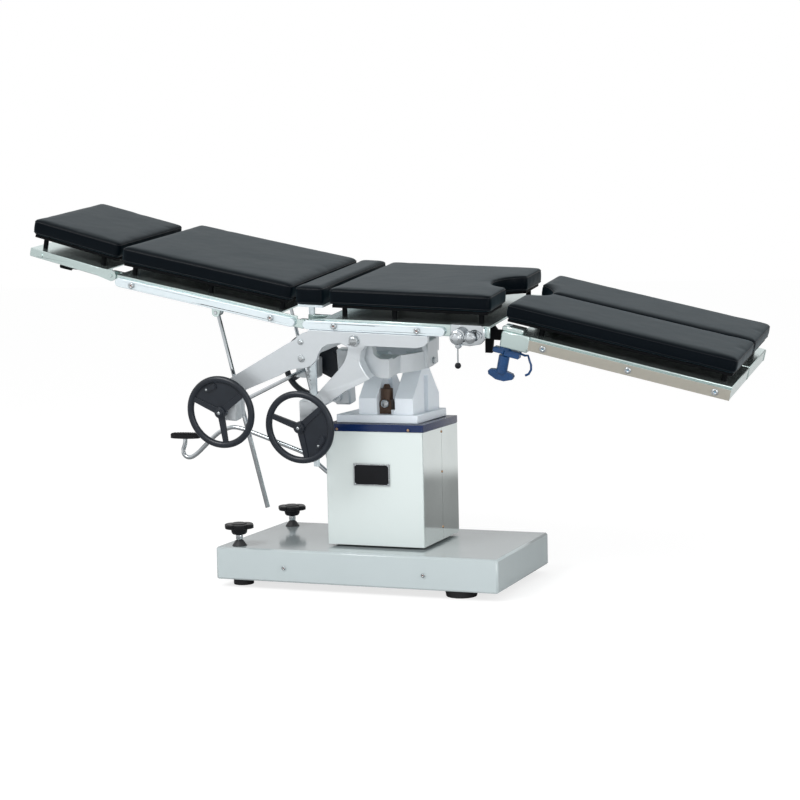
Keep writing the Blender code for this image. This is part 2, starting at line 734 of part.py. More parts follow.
def build_saddle(paint, roll):
    """The tilting head: a ring on the roll axle with two ears for the pitch pins."""
    ring_shift, ring_radius, ring_wall = 0.0038, 0.118, 0.012
    band = (-0.0145, 0.0330)
    axle_radius = 0.0100
    axle_head, axle_head_radius = 0.006, 0.0085
    ear_inner, ear_outer = 0.165, 0.190
    foot_inner = 0.108
    boss_radius = 0.026
    pin_radius = 0.0115
    lug_half = 0.040
    lug_top = 0.058
    ring = plate(
        "saddle_ring", roll, paint["cast_frame"], circle((ring_shift, 0), ring_radius, FINE_SIDES),
        band, "Z", holes=[circle((ring_shift, 0), ring_radius - ring_wall, FINE_SIDES)],
    )
    lug = box(
        "saddle_lug", roll, None, (ring_shift + ring_radius - ring_wall * 1.5, -lug_half, band[0]),
        (ring_shift + ring_radius + 0.002, lug_half, lug_top), 0.004,
    )
    ears = frame(
        "saddle_ears", roll, (PITCH_AXIS_SHIFT, 0, PITCH_AXIS_RISE), (0, radians(PITCH_SET), 0),
    )
    outline = [
        (-0.002, -0.030), (0.002, -0.057), (0.011, -0.081), (0.0205, -0.096), (0.033, -0.104),
        (0.0455, -0.108), (0.070, -0.108), (0.071, -0.057), (0.047, -0.0575), (0.036, -0.053),
        (0.028, -0.046), (0.0236, -0.026),
        *arc((0, 0), boss_radius, -20, 230, 14),
    ]
    foot_outline = [
        (0.0205, -0.096), (0.033, -0.104), (0.0455, -0.108), (0.070, -0.108), (0.071, -0.062),
        (0.0205, -0.062),
    ]
    joined = [lug]
    bores = []
    for side in (NEAR, FAR):
        joined.append(plate(
            "saddle_ear", ears, None, outline, reach(side, ear_inner, ear_outer), "Y",
        ))
        joined.append(plate(
            "saddle_foot", ears, None, foot_outline, reach(side, foot_inner, ear_outer - OVERRUN), "Y",
        ))
        bores.append(bore(
            "ear_bore", ears, (0, side * (ear_inner - OVERRUN), 0),
            (0, side * (ear_outer + OVERRUN), 0),
            pin_radius,
        ))
    fuse(ring, *joined)
    ring_left = ring_shift - ring_radius
    ring_right = ring_shift + ring_radius + 0.002
    axle_bore = bore(
        "axle_bore", roll, (ring_left - OVERRUN, 0, 0), (ring_right + OVERRUN, 0, 0), axle_radius,
    )
    cut(ring, axle_bore, *bores)
    ring.name = "saddle"

    axle = rod(
        "tilt_axle", roll, paint["zinc"], (ring_left - axle_head, 0, 0), (ring_right + GAP, 0, 0),
        axle_radius,
    )
    head = rod(
        "axle_head", roll, None, (ring_right - OVERRUN, 0, 0), (ring_right + axle_head, 0, 0),
        axle_head_radius, sides=6,
    )
    fuse(axle, head)

    # Gearbox of the pitch drive, held by an arm at the head end of the ring
    box_low, box_high = (-0.1640, -0.022, -0.1210), (-0.1180, 0.022, -0.0650)
    arm_low, arm_high = (-0.1500, -0.018, -0.0660), (ring_left + ring_wall / 2, 0.018, -0.0010)
    arm_eye_clear = 0.0150
    gearbox = box("pitch_gearbox", roll, paint["dark_casting"], box_low, box_high, 0.004)
    upright = box(
        "gearbox_upright", roll, None, arm_low, (ring_left - GAP, arm_high[1], band[1]), 0.003,
    )
    arm_slot = rod(
        "axle_recess", roll, None, (ring_left - axle_head * 2, 0, 0), (ring_left + OVERRUN, 0, 0),
        arm_eye_clear,
    )
    fuse(gearbox, upright)
    cut(gearbox, arm_slot)
    socket_place = (-0.1560, -0.0975)
    socket_radius, socket_depth = 0.0150, 0.012
    shaft_radius, shaft_end = 0.0065, -0.160
    shaft = rod(
        "pitch_shaft", roll, None, (socket_place[0], 0, socket_place[1]),
        (socket_place[0], shaft_end, socket_place[1]), shaft_radius, sides=SMALL_SIDES,
    )
    collar = rod(
        "shaft_collar", roll, None, (socket_place[0], box_low[1] + OVERRUN, socket_place[1]),
        (socket_place[0], box_low[1] - socket_depth, socket_place[1]), socket_radius,
    )
    fuse(gearbox, shaft, collar)


# The table top. Sections are drawn along X, across Y and up Z in their own frames.

def handwheel(name, holder, paint, side, place_offset, turn):
    """A wheel with three spokes and one closed sector; its axis is the frame's Y."""
    rim_radius, rim_tube = 0.0905, 0.0072
    rim_steps, tube_steps = 24, 5
    hub_radius, hub_half = 0.0150, 0.0140
    web_half = 0.0045
    spoke_half = 0.0085
    web_inner = 0.0175
    handle_radius, handle_place = 0.0085, 0.0670
    handle_length = 0.052
    middle = side * place_offset
    bm = bmesh.new()
    grid = []
    for step in range(rim_steps):
        around = 2 * pi * step / rim_steps
        row = []
        for lap in range(tube_steps):
            tube_turn = 2 * pi * lap / tube_steps
            reach_out = rim_radius + rim_tube * cos(tube_turn)
            row.append(bm.verts.new((
                reach_out * cos(around), middle + rim_tube * sin(tube_turn), reach_out * sin(around),
            )))
        grid.append(row)
    for step in range(rim_steps):
        for lap in range(tube_steps):
            bm.faces.new((
                grid[step][lap], grid[(step + 1) % rim_steps][lap],
                grid[(step + 1) % rim_steps][(lap + 1) % tube_steps],
                grid[step][(lap + 1) % tube_steps],
            ))
    wheel = from_bmesh(name, bm, holder, paint["wheel_plastic"])
    holes = []
    open_sectors = ((turn + 120, turn + 240), (turn + 240, turn + 360))
    outer = rim_radius - rim_tube * 0.6
    for start, end in open_sectors:
        spoke_turn_outer = spoke_half / outer * 180 / pi
        spoke_turn_inner = spoke_half / web_inner * 180 / pi
        holes.append(
            arc((0, 0), outer, start + spoke_turn_outer, end - spoke_turn_outer, 7)
            + arc((0, 0), web_inner, end - spoke_turn_inner, start + spoke_turn_inner, 4)
        )
    web = plate(
        "wheel_web", holder, None, circle((0, 0), rim_radius, rim_steps),
        (middle - web_half, middle + web_half), "Y", holes=holes,
    )
    hub = rod(
        "wheel_hub", holder, None, (0, middle - hub_half, 0), (0, middle + hub_half, 0), hub_radius,
    )
    handle_turn = radians(turn + 60)
    direction = Vector((cos(handle_turn), 0, sin(handle_turn)))
    sideways = Vector((-direction.z, 0, direction.x))
    grip_middle = direction * handle_place + Vector((0, middle + side * web_half, 0))
    grip = rod(
        "wheel_grip", holder, None, grip_middle - sideways * handle_length / 2,
        grip_middle + sideways * handle_length / 2, handle_radius * 0.7, handle_radius,
        sides=SMALL_SIDES,
    )
    fuse(wheel, web, hub, grip)
    return wheel, hub_half


def bolt_heads(holder, side, places, face, thickness, radius=0.0070, height=0.0022):
    """Low round heads, rooted in the plate they hold; each place is (along, up)."""
    return [
        rod(
            "bolt_head", holder, None, across(side, place, face - thickness / 2),
            across(side, place, face + height), radius, radius * 0.75, sides=SMALL_SIDES,
        )
        for place in places
    ]


def tray(name, holder, paint, start, end, across_span, bottom, top, wall, sheet_start=None):
    """A folded sheet: a flat top with skirts along both sides, open below and at its ends."""
    low, high = across_span
    made = box(name, holder, paint, (start, low, bottom), (end, high, top), 0.0015, 1)
    hollow = box(
        name + "_hollow", holder, None, (start - OVERRUN, low + wall, bottom - OVERRUN),
        (end + OVERRUN, high - wall, top - wall),
    )
    cutters = [hollow]
    if sheet_start is not None:
        cutters.append(box(
            name + "_notch", holder, None, (start - OVERRUN, low + wall, bottom - OVERRUN),
            (sheet_start, high - wall, top + OVERRUN),
        ))
    return cut(made, *cutters)


def side_rail(
    name, holder, paint, side, start, end, middle, half_height, face, thickness,
    square_end=False,
):
    outline = [(x, y + middle) for x, y in round_ended(start, end, half_height)]
    if square_end:
        outline = [(x, y + middle) for x, y in arc((start + half_height, 0.0), half_height, 90, 270, 6)]
        outline = [(end, middle - half_height), (end, middle + half_height)] + outline
    made = plate(name, holder, paint, outline, reach(side, face - thickness, face), "Y")
    return round_edges(made, 0.0010, 1)


BAR_INNER, BAR_OUTER = 0.1880, 0.1960
BAR_LEFT, BAR_RIGHT = -0.1490, -0.1345
SHAFT_PLACE = (-0.364, -0.201)
SHAFT_RADIUS = 0.0060


def build_table(paint, table):
    """Everything that pitches with the seat."""
    plate_inner, plate_outer = 0.2360, 0.2500
    hub_inner, hub_radius = 0.1903, 0.0165
    pin_radius = 0.0115
    tray_start, tray_end = -0.0900, 0.3610
    tray_bottom, tray_top, tray_wall = 0.0220, 0.0520, 0.0040
    rail_start, rail_end, rail_half, rail_thickness = -0.1470, 0.2440, 0.0117, 0.0100
    rail_face = TOP_HALF_WIDTH + RAIL_STEP
    hinge_half_low = 0.2165
    hinge_pin = 0.0060
    top_edge = tray_bottom - GAP
    small_head = 0.0030

    outline = [
        (0.200, 0.006), (0.200, top_edge), (-0.128, top_edge), (-0.132, 0.016), (-0.150, 0.010),
        (-0.167, -0.005), (-0.200, -0.024), (-0.357, -0.119), (-0.386, -0.139), (-0.390, -0.146),
        (-0.390, -0.225), (-0.326, -0.225), (-0.326, -0.160), (-0.318, -0.151), (-0.305, -0.145),
        (-0.216, -0.105), (-0.190, -0.090), (-0.165, -0.083), (-0.145, -0.081), (-0.126, -0.074),
        (-0.110, -0.059), (-0.102, -0.040), (-0.091, -0.023), (-0.076, -0.014), (-0.042, -0.008),
        (-0.028, -0.014), (-0.010, -0.0215), (0.004, -0.0215), (0.018, -0.018), (0.029, -0.012),
        (0.171, -0.010), (0.190, -0.004),
    ]
    outline.reverse()
    for side in (NEAR, FAR):
        name = "side_plate_" + SIDE_NAMES[side]
        cheek = plate(
            name, table, paint["steel_sheet"], outline, reach(side, plate_inner, plate_outer), "Y",
        )
        hub = rod(
            "plate_hub", table, None, (0, side * hub_inner, 0), (0, side * (plate_inner + OVERRUN), 0),
            hub_radius,
        )
        fuse(cheek, hub)
        pin_bore = bore(
            "plate_bore", table, (0, side * (hub_inner - OVERRUN), 0),
            (0, side * (plate_outer + OVERRUN), 0), pin_radius,
        )
        shaft_hole = bore(
            "shaft_hole", table, across(side, SHAFT_PLACE, plate_inner - OVERRUN),
            across(side, SHAFT_PLACE, plate_outer + OVERRUN), SHAFT_RADIUS,
        )
        cut(cheek, pin_bore, shaft_hole)
        small = (((-0.151, -0.011), 0.0085), ((-0.150, -0.055), 0.0095))
        fuse(cheek, *[
            rod(
                "plate_pin", table, None, across(side, place, plate_outer - OVERRUN),
                across(side, place, plate_outer + small_head), radius, radius * 0.8, sides=SMALL_SIDES,
            )
            for place, radius in small
        ])

    pin_inner, head_height, head_radius = 0.1655, 0.0090, 0.0135
    for side in (NEAR, FAR):
        pin = rod(
            "pivot_pin_" + SIDE_NAMES[side], table, paint["zinc"], (0, side * pin_inner, 0),
            (0, side * (plate_outer + GAP + head_height / 2), 0), pin_radius,
        )
        fuse(pin, rod(
            "pivot_head", table, None, (0, side * (plate_outer + GAP), 0),
            (0, side * (plate_outer + GAP + head_height), 0), head_radius, sides=6,
        ))

    seat = tray(
        "seat_frame", table, paint["steel_sheet"], tray_start, tray_end,
        (-TOP_HALF_WIDTH, TOP_HALF_WIDTH),
        tray_bottom, tray_top, tray_wall,
    )
    arms = []
    arm_holes = []
    for side in (NEAR, FAR):
        arm_outline = [
            (tray_start + 0.030, RAIL_LINE - 0.011), (tray_start + 0.030, RAIL_LINE + 0.0165),
            (-BACK_AXIS_REACH + 0.020, RAIL_LINE + 0.011),
            *arc((-BACK_AXIS_REACH, RAIL_LINE), 0.011, 90, 270, 8),
        ]
        arms.append(plate(
            "seat_arm", table, None, arm_outline,
            reach(side, hinge_half_low, TOP_HALF_WIDTH - 0.0045), "Y",
        ))
        arm_holes.append(bore(
            "arm_hole", table, (-BACK_AXIS_REACH, side * (hinge_half_low - OVERRUN), RAIL_LINE),
            (-BACK_AXIS_REACH, side * (TOP_HALF_WIDTH + OVERRUN), RAIL_LINE), hinge_pin,
        ))
    arm_bridge = box(
        "arm_bridge", table, None, (tray_start + 0.001, -TOP_HALF_WIDTH + 0.001, tray_bottom + 0.001),
        (tray_start + 0.006, TOP_HALF_WIDTH - 0.001, tray_top - 0.001),
    )
    guide_wall = 0.0035
    guides = []
    for side in (NEAR, FAR):
        outer_span = reach(side, BAR_INNER - GAP - guide_wall, BAR_OUTER + GAP + guide_wall)
        inner_span = reach(side, BAR_INNER - GAP, BAR_OUTER + GAP)
        guide = box(
            "bar_guide", table, None, (BAR_LEFT, outer_span[0], tray_bottom),
            (tray_start + tray_wall, outer_span[1], tray_top),
        )
        channel = box(
            "bar_channel", table, None, (BAR_LEFT - OVERRUN, inner_span[0], tray_bottom - OVERRUN),
            (BAR_RIGHT + GAP, inner_span[1], tray_top + OVERRUN),
        )
        cut(guide, channel)
        guides.append(guide)
    fuse(seat, arm_bridge, *arms, *guides)
    cut(seat, *arm_holes)

    for side in (NEAR, FAR):
        rail = side_rail(
            "seat_rail_" + SIDE_NAMES[side], table, paint["rail_steel"], side, rail_start,
            rail_end, RAIL_LINE, rail_half,
            rail_face, rail_thickness,
        )
        fuse(rail, *bolt_heads(
            table, side, ((-0.057, RAIL_LINE), (0.171, RAIL_LINE)), rail_face, rail_thickness,
        ))

    pad_bottom, pad_top = 0.0860, 0.1278
    pad_start, pad_end = -0.0820, 0.3600
    board_thickness = 0.0080
    stud_radius = 0.0073
    standoffs(
        "seat_board", table, paint["board"], pad_start, pad_end, 0.030,
        (-PAD_HALF_WIDTH, PAD_HALF_WIDTH),
        tuple((along, PAD_HALF_WIDTH - STUD_INSET) for along in (-0.045, 0.093, 0.3275)),
        tray_top + GAP, pad_bottom - GAP, board_thickness, stud_radius, cut_centre=(0.392, 0.0, 0.112),
    )
    hollow_radius = 0.095
    hollow_centre = (0.392, 0.0)
    opening = sqrt(hollow_radius ** 2 - (pad_end - hollow_centre[0]) ** 2)
    start_turn = atan2(-opening, pad_end - hollow_centre[0])
    seat_outline = rounded_pad(
        pad_start, pad_end, -PAD_HALF_WIDTH, PAD_HALF_WIDTH, 0.012,
        bay=[
            (hollow_centre[0] + hollow_radius * cos(a), hollow_centre[1] + hollow_radius * sin(a))
            for a in [
                start_turn + (-2 * (pi + start_turn)) * step / 14 for step in range(15)
            ]
        ],
    )
    cushion("seat_cushion", table, paint["cushion_leather"], seat_outline, pad_bottom, pad_top)

    # Gearboxes of the back drive on the tails of the side plates
    gear_low, gear_high = (-0.385, -0.228), (-0.326, -0.168)
    gear_outer = 0.284
    for side in (NEAR, FAR):
        span = reach(side, plate_outer + GAP, gear_outer)
        gear = box(
            "back_gearbox_" + SIDE_NAMES[side], table, paint["cast_frame"],
            (gear_low[0], span[0], gear_low[1]),
            (gear_high[0], span[1], gear_high[1]), 0.004,
        )
        hole = bore(
            "gearbox_hole", table, (SHAFT_PLACE[0], span[0] - OVERRUN, SHAFT_PLACE[1]),
            (SHAFT_PLACE[0], span[1] + OVERRUN, SHAFT_PLACE[1]), SHAFT_RADIUS,
        )
        cut(gear, hole)

    back_wheels = frame("turn_back_handwheels", table, (SHAFT_PLACE[0], 0, SHAFT_PLACE[1]))
    wheel_offset = 0.302
    for side in (NEAR, FAR):
        wheel, hub_half = handwheel(
            "back_handwheel_" + SIDE_NAMES[side], back_wheels, paint, side, wheel_offset, 32,
        )
        wheel_bore = bore(
            "wheel_bore", back_wheels, (0, side * (wheel_offset - hub_half - OVERRUN), 0),
            (0, side * (wheel_offset + hub_half - OVERRUN), 0), SHAFT_RADIUS, SMALL_SIDES,
        )
        cut(wheel, wheel_bore)
    rod(
        "back_cross_shaft", back_wheels, paint["chrome"], (0, -wheel_offset - 0.006, 0),
        (0, wheel_offset + 0.006, 0), SHAFT_RADIUS, sides=SMALL_SIDES,
    )

    # Near bracket that carries the pitch wheel
    bracket_inner, bracket_outer = 0.1985, 0.2355
    bracket_outline = [
        (0.0345, -0.1015), (0.0215, -0.088), (0.0120, -0.072), (0.0064, -0.058), (0.0120, -0.0300),
        *arc((0, 0), 0.0300, -60, 44, 6), *arc((0, 0), 0.0300, 136, 215, 5),
        (-0.0280, -0.0400), (-0.0370, -0.062), (-0.0560, -0.086), (-0.114, -0.148),
        (-0.0955, -0.181), (-0.0320, -0.1365), (0.0050, -0.118),
    ]
    bracket = plate(
        "pitch_bracket", table, paint["cast_frame"], bracket_outline,
        reach(NEAR, bracket_inner, bracket_outer), "Y",
        holes=[circle((0, 0), hub_radius + BORE_CLEARANCE)],
    )
    round_edges(bracket, 0.007)
    block_low, block_high = (-0.1730, -0.224), (-0.1325, -0.174)
    block_span = reach(NEAR, 0.2000, 0.2253)
    wheel_place = (-0.151, -0.234)
    block = box(
        "wheel_block", table, None, (block_low[0], block_span[0], block_low[1] - 0.022),
        (block_high[0], block_span[1], block_high[1]), 0.003,
    )
    link = plate(
        "block_link", table, None,
        [(-0.150, -0.190), (-0.125, -0.200), (-0.090, -0.178), (-0.112, -0.146), (-0.140, -0.176)],
        reach(NEAR, 0.2020, 0.2250), "Y",
    )
    fuse(bracket, block, link)
    block_hole = bore(
        "block_hole", table, (wheel_place[0], block_span[0] - OVERRUN, wheel_place[1]),
        (wheel_place[0], block_span[1] + OVERRUN, wheel_place[1]), SHAFT_RADIUS,
    )
    cut(bracket, block_hole)
    pitch_wheel = frame("turn_pitch_handwheel", table, (wheel_place[0], 0, wheel_place[1]))
    pitch_offset = 0.272
    wheel, hub_half = handwheel(
        "pitch_handwheel", pitch_wheel, paint, NEAR, pitch_offset, -75,
    )
    fuse(wheel, rod(
        "pitch_wheel_shaft", pitch_wheel, None, (0, NEAR * pitch_offset, 0),
        (0, NEAR * bracket_inner, 0),
        SHAFT_RADIUS, sides=SMALL_SIDES,
    ))
    build_accessory_clamp(paint, table)
    build_leg_brackets(paint, table, tray_end)


def rounded_pad(start, end, low, high, corner, bay=None):
    """The outline of a pad, anticlockwise, with an optional bay in its leg end."""
    steps = 3
    sides = 6
    outline = []
    for step in range(sides):
        outline.append((start + corner + (end - start - 2 * corner) * step / sides, low))
    outline += arc((end - corner, low + corner), corner, -90, 0, steps)
    if bay is not None:
        outline += bay
    else:
        outline.append((end, (low + high) / 2))
    outline += arc((end - corner, high - corner), corner, 0, 90, steps)
    for step in range(1, sides):
        outline.append((end - corner - (end - start - 2 * corner) * step / sides, high))
    outline += arc((start + corner, high - corner), corner, 90, 180, steps)
    for step in range(1, sides):
        outline.append((start, high - corner + (low - high + 2 * corner) * step / sides))
    outline += arc((start + corner, low + corner), corner, 180, 255, steps)
    return outline


def standoffs(name, holder, paint, start, end, inset, across_span, places, bottom, top, thickness,
              radius, cut_centre=None):
    """The board under a pad and the studs that carry it, as one piece."""
    low, high = across_span
    made = box(
        name, holder, paint, (start + inset / 3, low + inset / 3, top - thickness),
        (end - inset / 3, high - inset / 3, top), 0.001, 1,
    )
    studs = []
    middle = (low + high) / 2
    for along_section, offset in places:
        for side in (-1, 1):
            place = (along_section, middle + side * offset)
            studs.append(rod(
                name + "_stud", holder, None, (*place, bottom), (*place, top - thickness / 2), radius,
                sides=SMALL_SIDES,
            ))
    fuse(made, *studs)
    if cut_centre is not None:
        x, y, hole_radius = cut_centre
        cut(made, rod(
            name + "_bay", holder, None, (x, y, bottom - OVERRUN), (x, y, top + OVERRUN), hole_radius,
            sides=FINE_SIDES,
        ))
    return made


def build_accessory_clamp(paint, table):
    """The clamp on the near rail end, with its lever on a hinge."""
    body_inner, body_outer = 0.2361, 0.2640
    body_outline = [
        (0.2600, 0.0140), (0.2760, 0.0040), (0.3100, 0.0020), (0.3400, 0.0080), (0.3500, 0.0200),
        (0.3500, 0.0470), (0.3400, 0.0560), (0.2600, 0.0560),
    ]
    body = plate(
        "accessory_clamp", table, paint["chrome"], body_outline,
        reach(NEAR, body_inner, body_inner + 0.0100), "Y",
    )
    round_edges(body, 0.0015, 1)
    collar = rod(
        "clamp_collar", table, None, (0.2860, NEAR * (body_inner + 0.009), 0.0300),
        (0.2860, NEAR * body_outer, 0.0300), 0.0180,
    )
    link = plate(
        "clamp_link", table, None,
        [(x + 0.3200, y + 0.0300) for x, y in round_ended(-0.0240, 0.0240, 0.0100)],
        reach(NEAR, body_inner + 0.009, body_inner + 0.0150), "Y",
    )
    knuckles = [
        rod(
            "clamp_knuckle", table, None, (x, NEAR * (body_inner + 0.012), 0.0300),
            (x, NEAR * (body_inner + 0.0200), 0.0300), 0.0070,
        )
        for x in (0.3080, 0.3320)
    ]
    eye_place = (0.2830, 0.0035)
    eye = rod(
        "clamp_boss", table, None, (eye_place[0], NEAR * (body_inner + 0.009), eye_place[1]),
        (eye_place[0], NEAR * (body_inner + 0.0165), eye_place[1]), 0.0080,
    )
    fuse(body, collar, link, eye, *knuckles)
    holder = frame("turn_clamp_lever", table, (eye_place[0], 0, eye_place[1]))
    lever_offset = NEAR * (body_inner + 0.0205)
    lever_length, knob_radius = 0.050, 0.0075
    hub = rod(
        "clamp_lever", holder, paint["chrome"], (0, NEAR * (body_inner + 0.0168), 0),
        (0, NEAR * (body_inner + 0.0245), 0), 0.0065, sides=SMALL_SIDES,
    )
    bar = rod(
        "lever_bar", holder, None, (0, lever_offset, 0), (0, lever_offset, -lever_length), 0.0022,
        sides=SMALL_SIDES,
    )
    tip = ball("lever_knob", holder, None, (0, lever_offset, -lever_length), knob_radius)
    fuse(hub, bar, tip)


LEG_OFFSET = 0.2115
LEG_PIN = 0.0060


def build_leg_brackets(paint, table, tray_end):
    """Ears at the leg end of the seat that carry the two leg joints."""
    inner, outer = 0.1850, 0.1962
    arm_start = tray_end - 0.026
    fold = (LEG_AXIS_REACH, RAIL_LINE - LEG_AXIS_DROP)
    outline = [
        (arm_start, fold[1] - 0.047), (arm_start + 0.018, fold[1] - 0.047),
        (arm_start + 0.021, fold[1] - 0.013), (fold[0] - 0.006, fold[1] - 0.0125),
        *arc(fold, 0.0130, -90, 90, 8),
        (tray_end + 0.006, fold[1] + 0.0130), (tray_end - 0.002, fold[1] + 0.0230),
        (arm_start, fold[1] + 0.0230),
    ]
    for side in (NEAR, FAR):
        bracket = plate(
            "leg_bracket_" + SIDE_NAMES[side], table, paint["board"], outline, reach(side, inner, outer), "Y",
        )
        hole = bore(
            "leg_hole", table, (fold[0], side * (inner - OVERRUN), fold[1]),
            (fold[0], side * (outer + OVERRUN), fold[1]), LEG_PIN,
        )
        cut(bracket, hole)


def build_kidney_bridge(paint, bridge):
    """The lifting bridge between back and seat; places are given in the seat's frame."""
    bar_bottom, bar_top = -0.3600, 0.0770
    tooth_pitch, tooth_depth = 0.0120, 0.0045
    tooth_bottom, tooth_top = -0.215, -0.030
    plate_low, plate_high = (-0.1690, 0.0755), (-0.0990, 0.0822)
    pad_start, pad_end = -0.1732, -0.0952
    bars = []
    for side in (NEAR, FAR):
        outline = [(BAR_LEFT, bar_top), (BAR_LEFT, tooth_top)]
        height = tooth_top
        while height > tooth_bottom:
            outline += [
                (BAR_LEFT - tooth_depth, height - tooth_pitch * 0.3),
                (BAR_LEFT - tooth_depth, height - tooth_pitch * 0.6),
                (BAR_LEFT, height - tooth_pitch * 0.9),
                (BAR_LEFT, height - tooth_pitch),
            ]
            height -= tooth_pitch
        outline += [(BAR_LEFT, bar_bottom), (BAR_RIGHT, bar_bottom), (BAR_RIGHT, bar_top)]
        bars.append(plate(
            "kidney_bar", bridge, paint["rail_steel"], outline, reach(side, BAR_INNER, BAR_OUTER), "Y",
        ))
    deck = box(
        "kidney_racks", bridge, paint["rail_steel"], (plate_low[0], -0.2200, plate_low[1]),
        (plate_high[0], 0.2200, plate_high[1]),
    )
    fuse(deck, *bars)
    cushion(
        "kidney_cushion", bridge, paint["cushion_leather"],
        rounded_pad(pad_start, pad_end, -PAD_HALF_WIDTH, PAD_HALF_WIDTH, 0.010),
        plate_high[1] + GAP, 0.1300,
    )


HEAD_PIN = 0.0050
STRUT_PIN = 0.0045


def build_back(paint, back):
    """The back section; its frame lies on its hinge, with X pointing to the seat."""
    tray_start, tray_end = -0.5450, 0.0110
    tray_bottom, tray_top, wall = -0.0120, 0.0180, 0.0040
    sheet_end = -0.0580
    rail_start, rail_end, rail_half, rail_thickness = -0.5450, -0.0120, 0.0120, 0.0100
    rail_face = TOP_HALF_WIDTH + RAIL_STEP
    pin_inner = 0.2170
    frame_sheet = box(
        "back_frame", back, paint["steel_sheet"], (tray_start, -TOP_HALF_WIDTH, tray_bottom),
        (tray_end, TOP_HALF_WIDTH, tray_top), 0.0015, 1,
    )
    hollow = box(
        "back_hollow", back, None,
        (tray_start - OVERRUN, -TOP_HALF_WIDTH + wall, tray_bottom - OVERRUN),
        (tray_end + OVERRUN, TOP_HALF_WIDTH - wall, tray_top - wall),
    )
    seat_notch = box(
        "back_notch", back, None, (sheet_end, -TOP_HALF_WIDTH + wall, tray_bottom - OVERRUN),
        (tray_end + OVERRUN, TOP_HALF_WIDTH - wall, tray_top + OVERRUN),
    )
    corner_cuts = [
        box(
            "back_corner", back, None, (-0.0100, reach(side, 0.22, 0.24)[0], tray_bottom + 0.023),
            (tray_end + OVERRUN, reach(side, 0.22, 0.24)[1], tray_top + OVERRUN),
        )
        for side in (NEAR, FAR)
    ]
    cut(frame_sheet, hollow, seat_notch, *corner_cuts)
    pins = []
    lugs = []
    strut_top = (-0.2470, -0.0260)
    for side in (NEAR, FAR):
        pins.append(rod(
            "back_pin", back, None, (0, side * pin_inner, 0),
            (0, side * (TOP_HALF_WIDTH - wall / 2), 0),
            0.0060,
        ))
        lug_outline = [
            (strut_top[0] - 0.020, tray_top - wall + 0.001), (strut_top[0] - 0.011, strut_top[1]),
            *arc(strut_top, 0.011, 180, 360, 8), (strut_top[0] + 0.020, tray_top - wall + 0.001),
        ]
        for face in ((0.2010, 0.2070), (0.2220, 0.2270)):
            lugs.append(plate("strut_lug", back, None, lug_outline, reach(side, *face), "Y"))
    head_lugs = []
    head_bores = []
    head_axis = (-HEAD_AXIS_REACH, 0.0)
    for side in (NEAR, FAR):
        lug_outline = [
            (tray_start + 0.030, -0.0110), (tray_start + 0.030, 0.0110),
            *arc(head_axis, 0.0110, 90, 270, 8),
        ]
        head_lugs.append(plate("head_lug", back, None, lug_outline, reach(side, 0.1700, 0.1800), "Y"))
        head_bores.append(bore(
            "head_bore", back, (head_axis[0], side * 0.16, 0), (head_axis[0], side * 0.19, 0), HEAD_PIN,
        ))
    cross = box(
        "back_cross", back, None, (tray_start + 0.001, -TOP_HALF_WIDTH + 0.001, tray_bottom + 0.001),
        (tray_start + 0.006, TOP_HALF_WIDTH - 0.001, tray_top - 0.001),
    )
    fuse(frame_sheet, cross, *pins, *lugs, *head_lugs)
    strut_bores = [
        bore(
            "strut_bore", back, (strut_top[0], side * 0.19, strut_top[1]),
            (strut_top[0], side * 0.23, strut_top[1]), STRUT_PIN, SMALL_SIDES,
        )
        for side in (NEAR, FAR)
    ]
    cut(frame_sheet, *head_bores, *strut_bores)

    for side in (NEAR, FAR):
        rail = side_rail(
            "back_rail_" + SIDE_NAMES[side], back, paint["rail_steel"], side, rail_start,
            rail_end, 0.0, rail_half, rail_face,
            rail_thickness,
        )
        fuse(rail, *bolt_heads(
            back, side, ((-0.4920, 0.0), (-0.0795, 0.0)), rail_face, rail_thickness,
        ))
    pad_start, pad_end, pad_bottom = -0.5450, -0.0370, 0.0510
    standoffs(
        "back_board", back, paint["board"], pad_start, pad_end, 0.030,
        (-PAD_HALF_WIDTH, PAD_HALF_WIDTH),
        tuple((along, PAD_HALF_WIDTH - STUD_INSET) for along in (-0.510, -0.280, -0.070)),
        tray_top + GAP, pad_bottom - GAP, 0.0080, 0.0073,
    )
    cushion(
        "back_cushion", back, paint["cushion_leather"],
        rounded_pad(pad_start, pad_end, -PAD_HALF_WIDTH, PAD_HALF_WIDTH, 0.012), pad_bottom, PAD_TOP,
    )

    # Struts of the back drive, each on a pin between its lugs
    lean = radians(-(13.30 + BACK_SET))
    for side in (NEAR, FAR):
        strut = frame(
            "turn_back_strut_" + SIDE_NAMES[side], back, (strut_top[0], 0, strut_top[1]), (0, lean, 0),
        )
        build_strut(paint, strut, side)


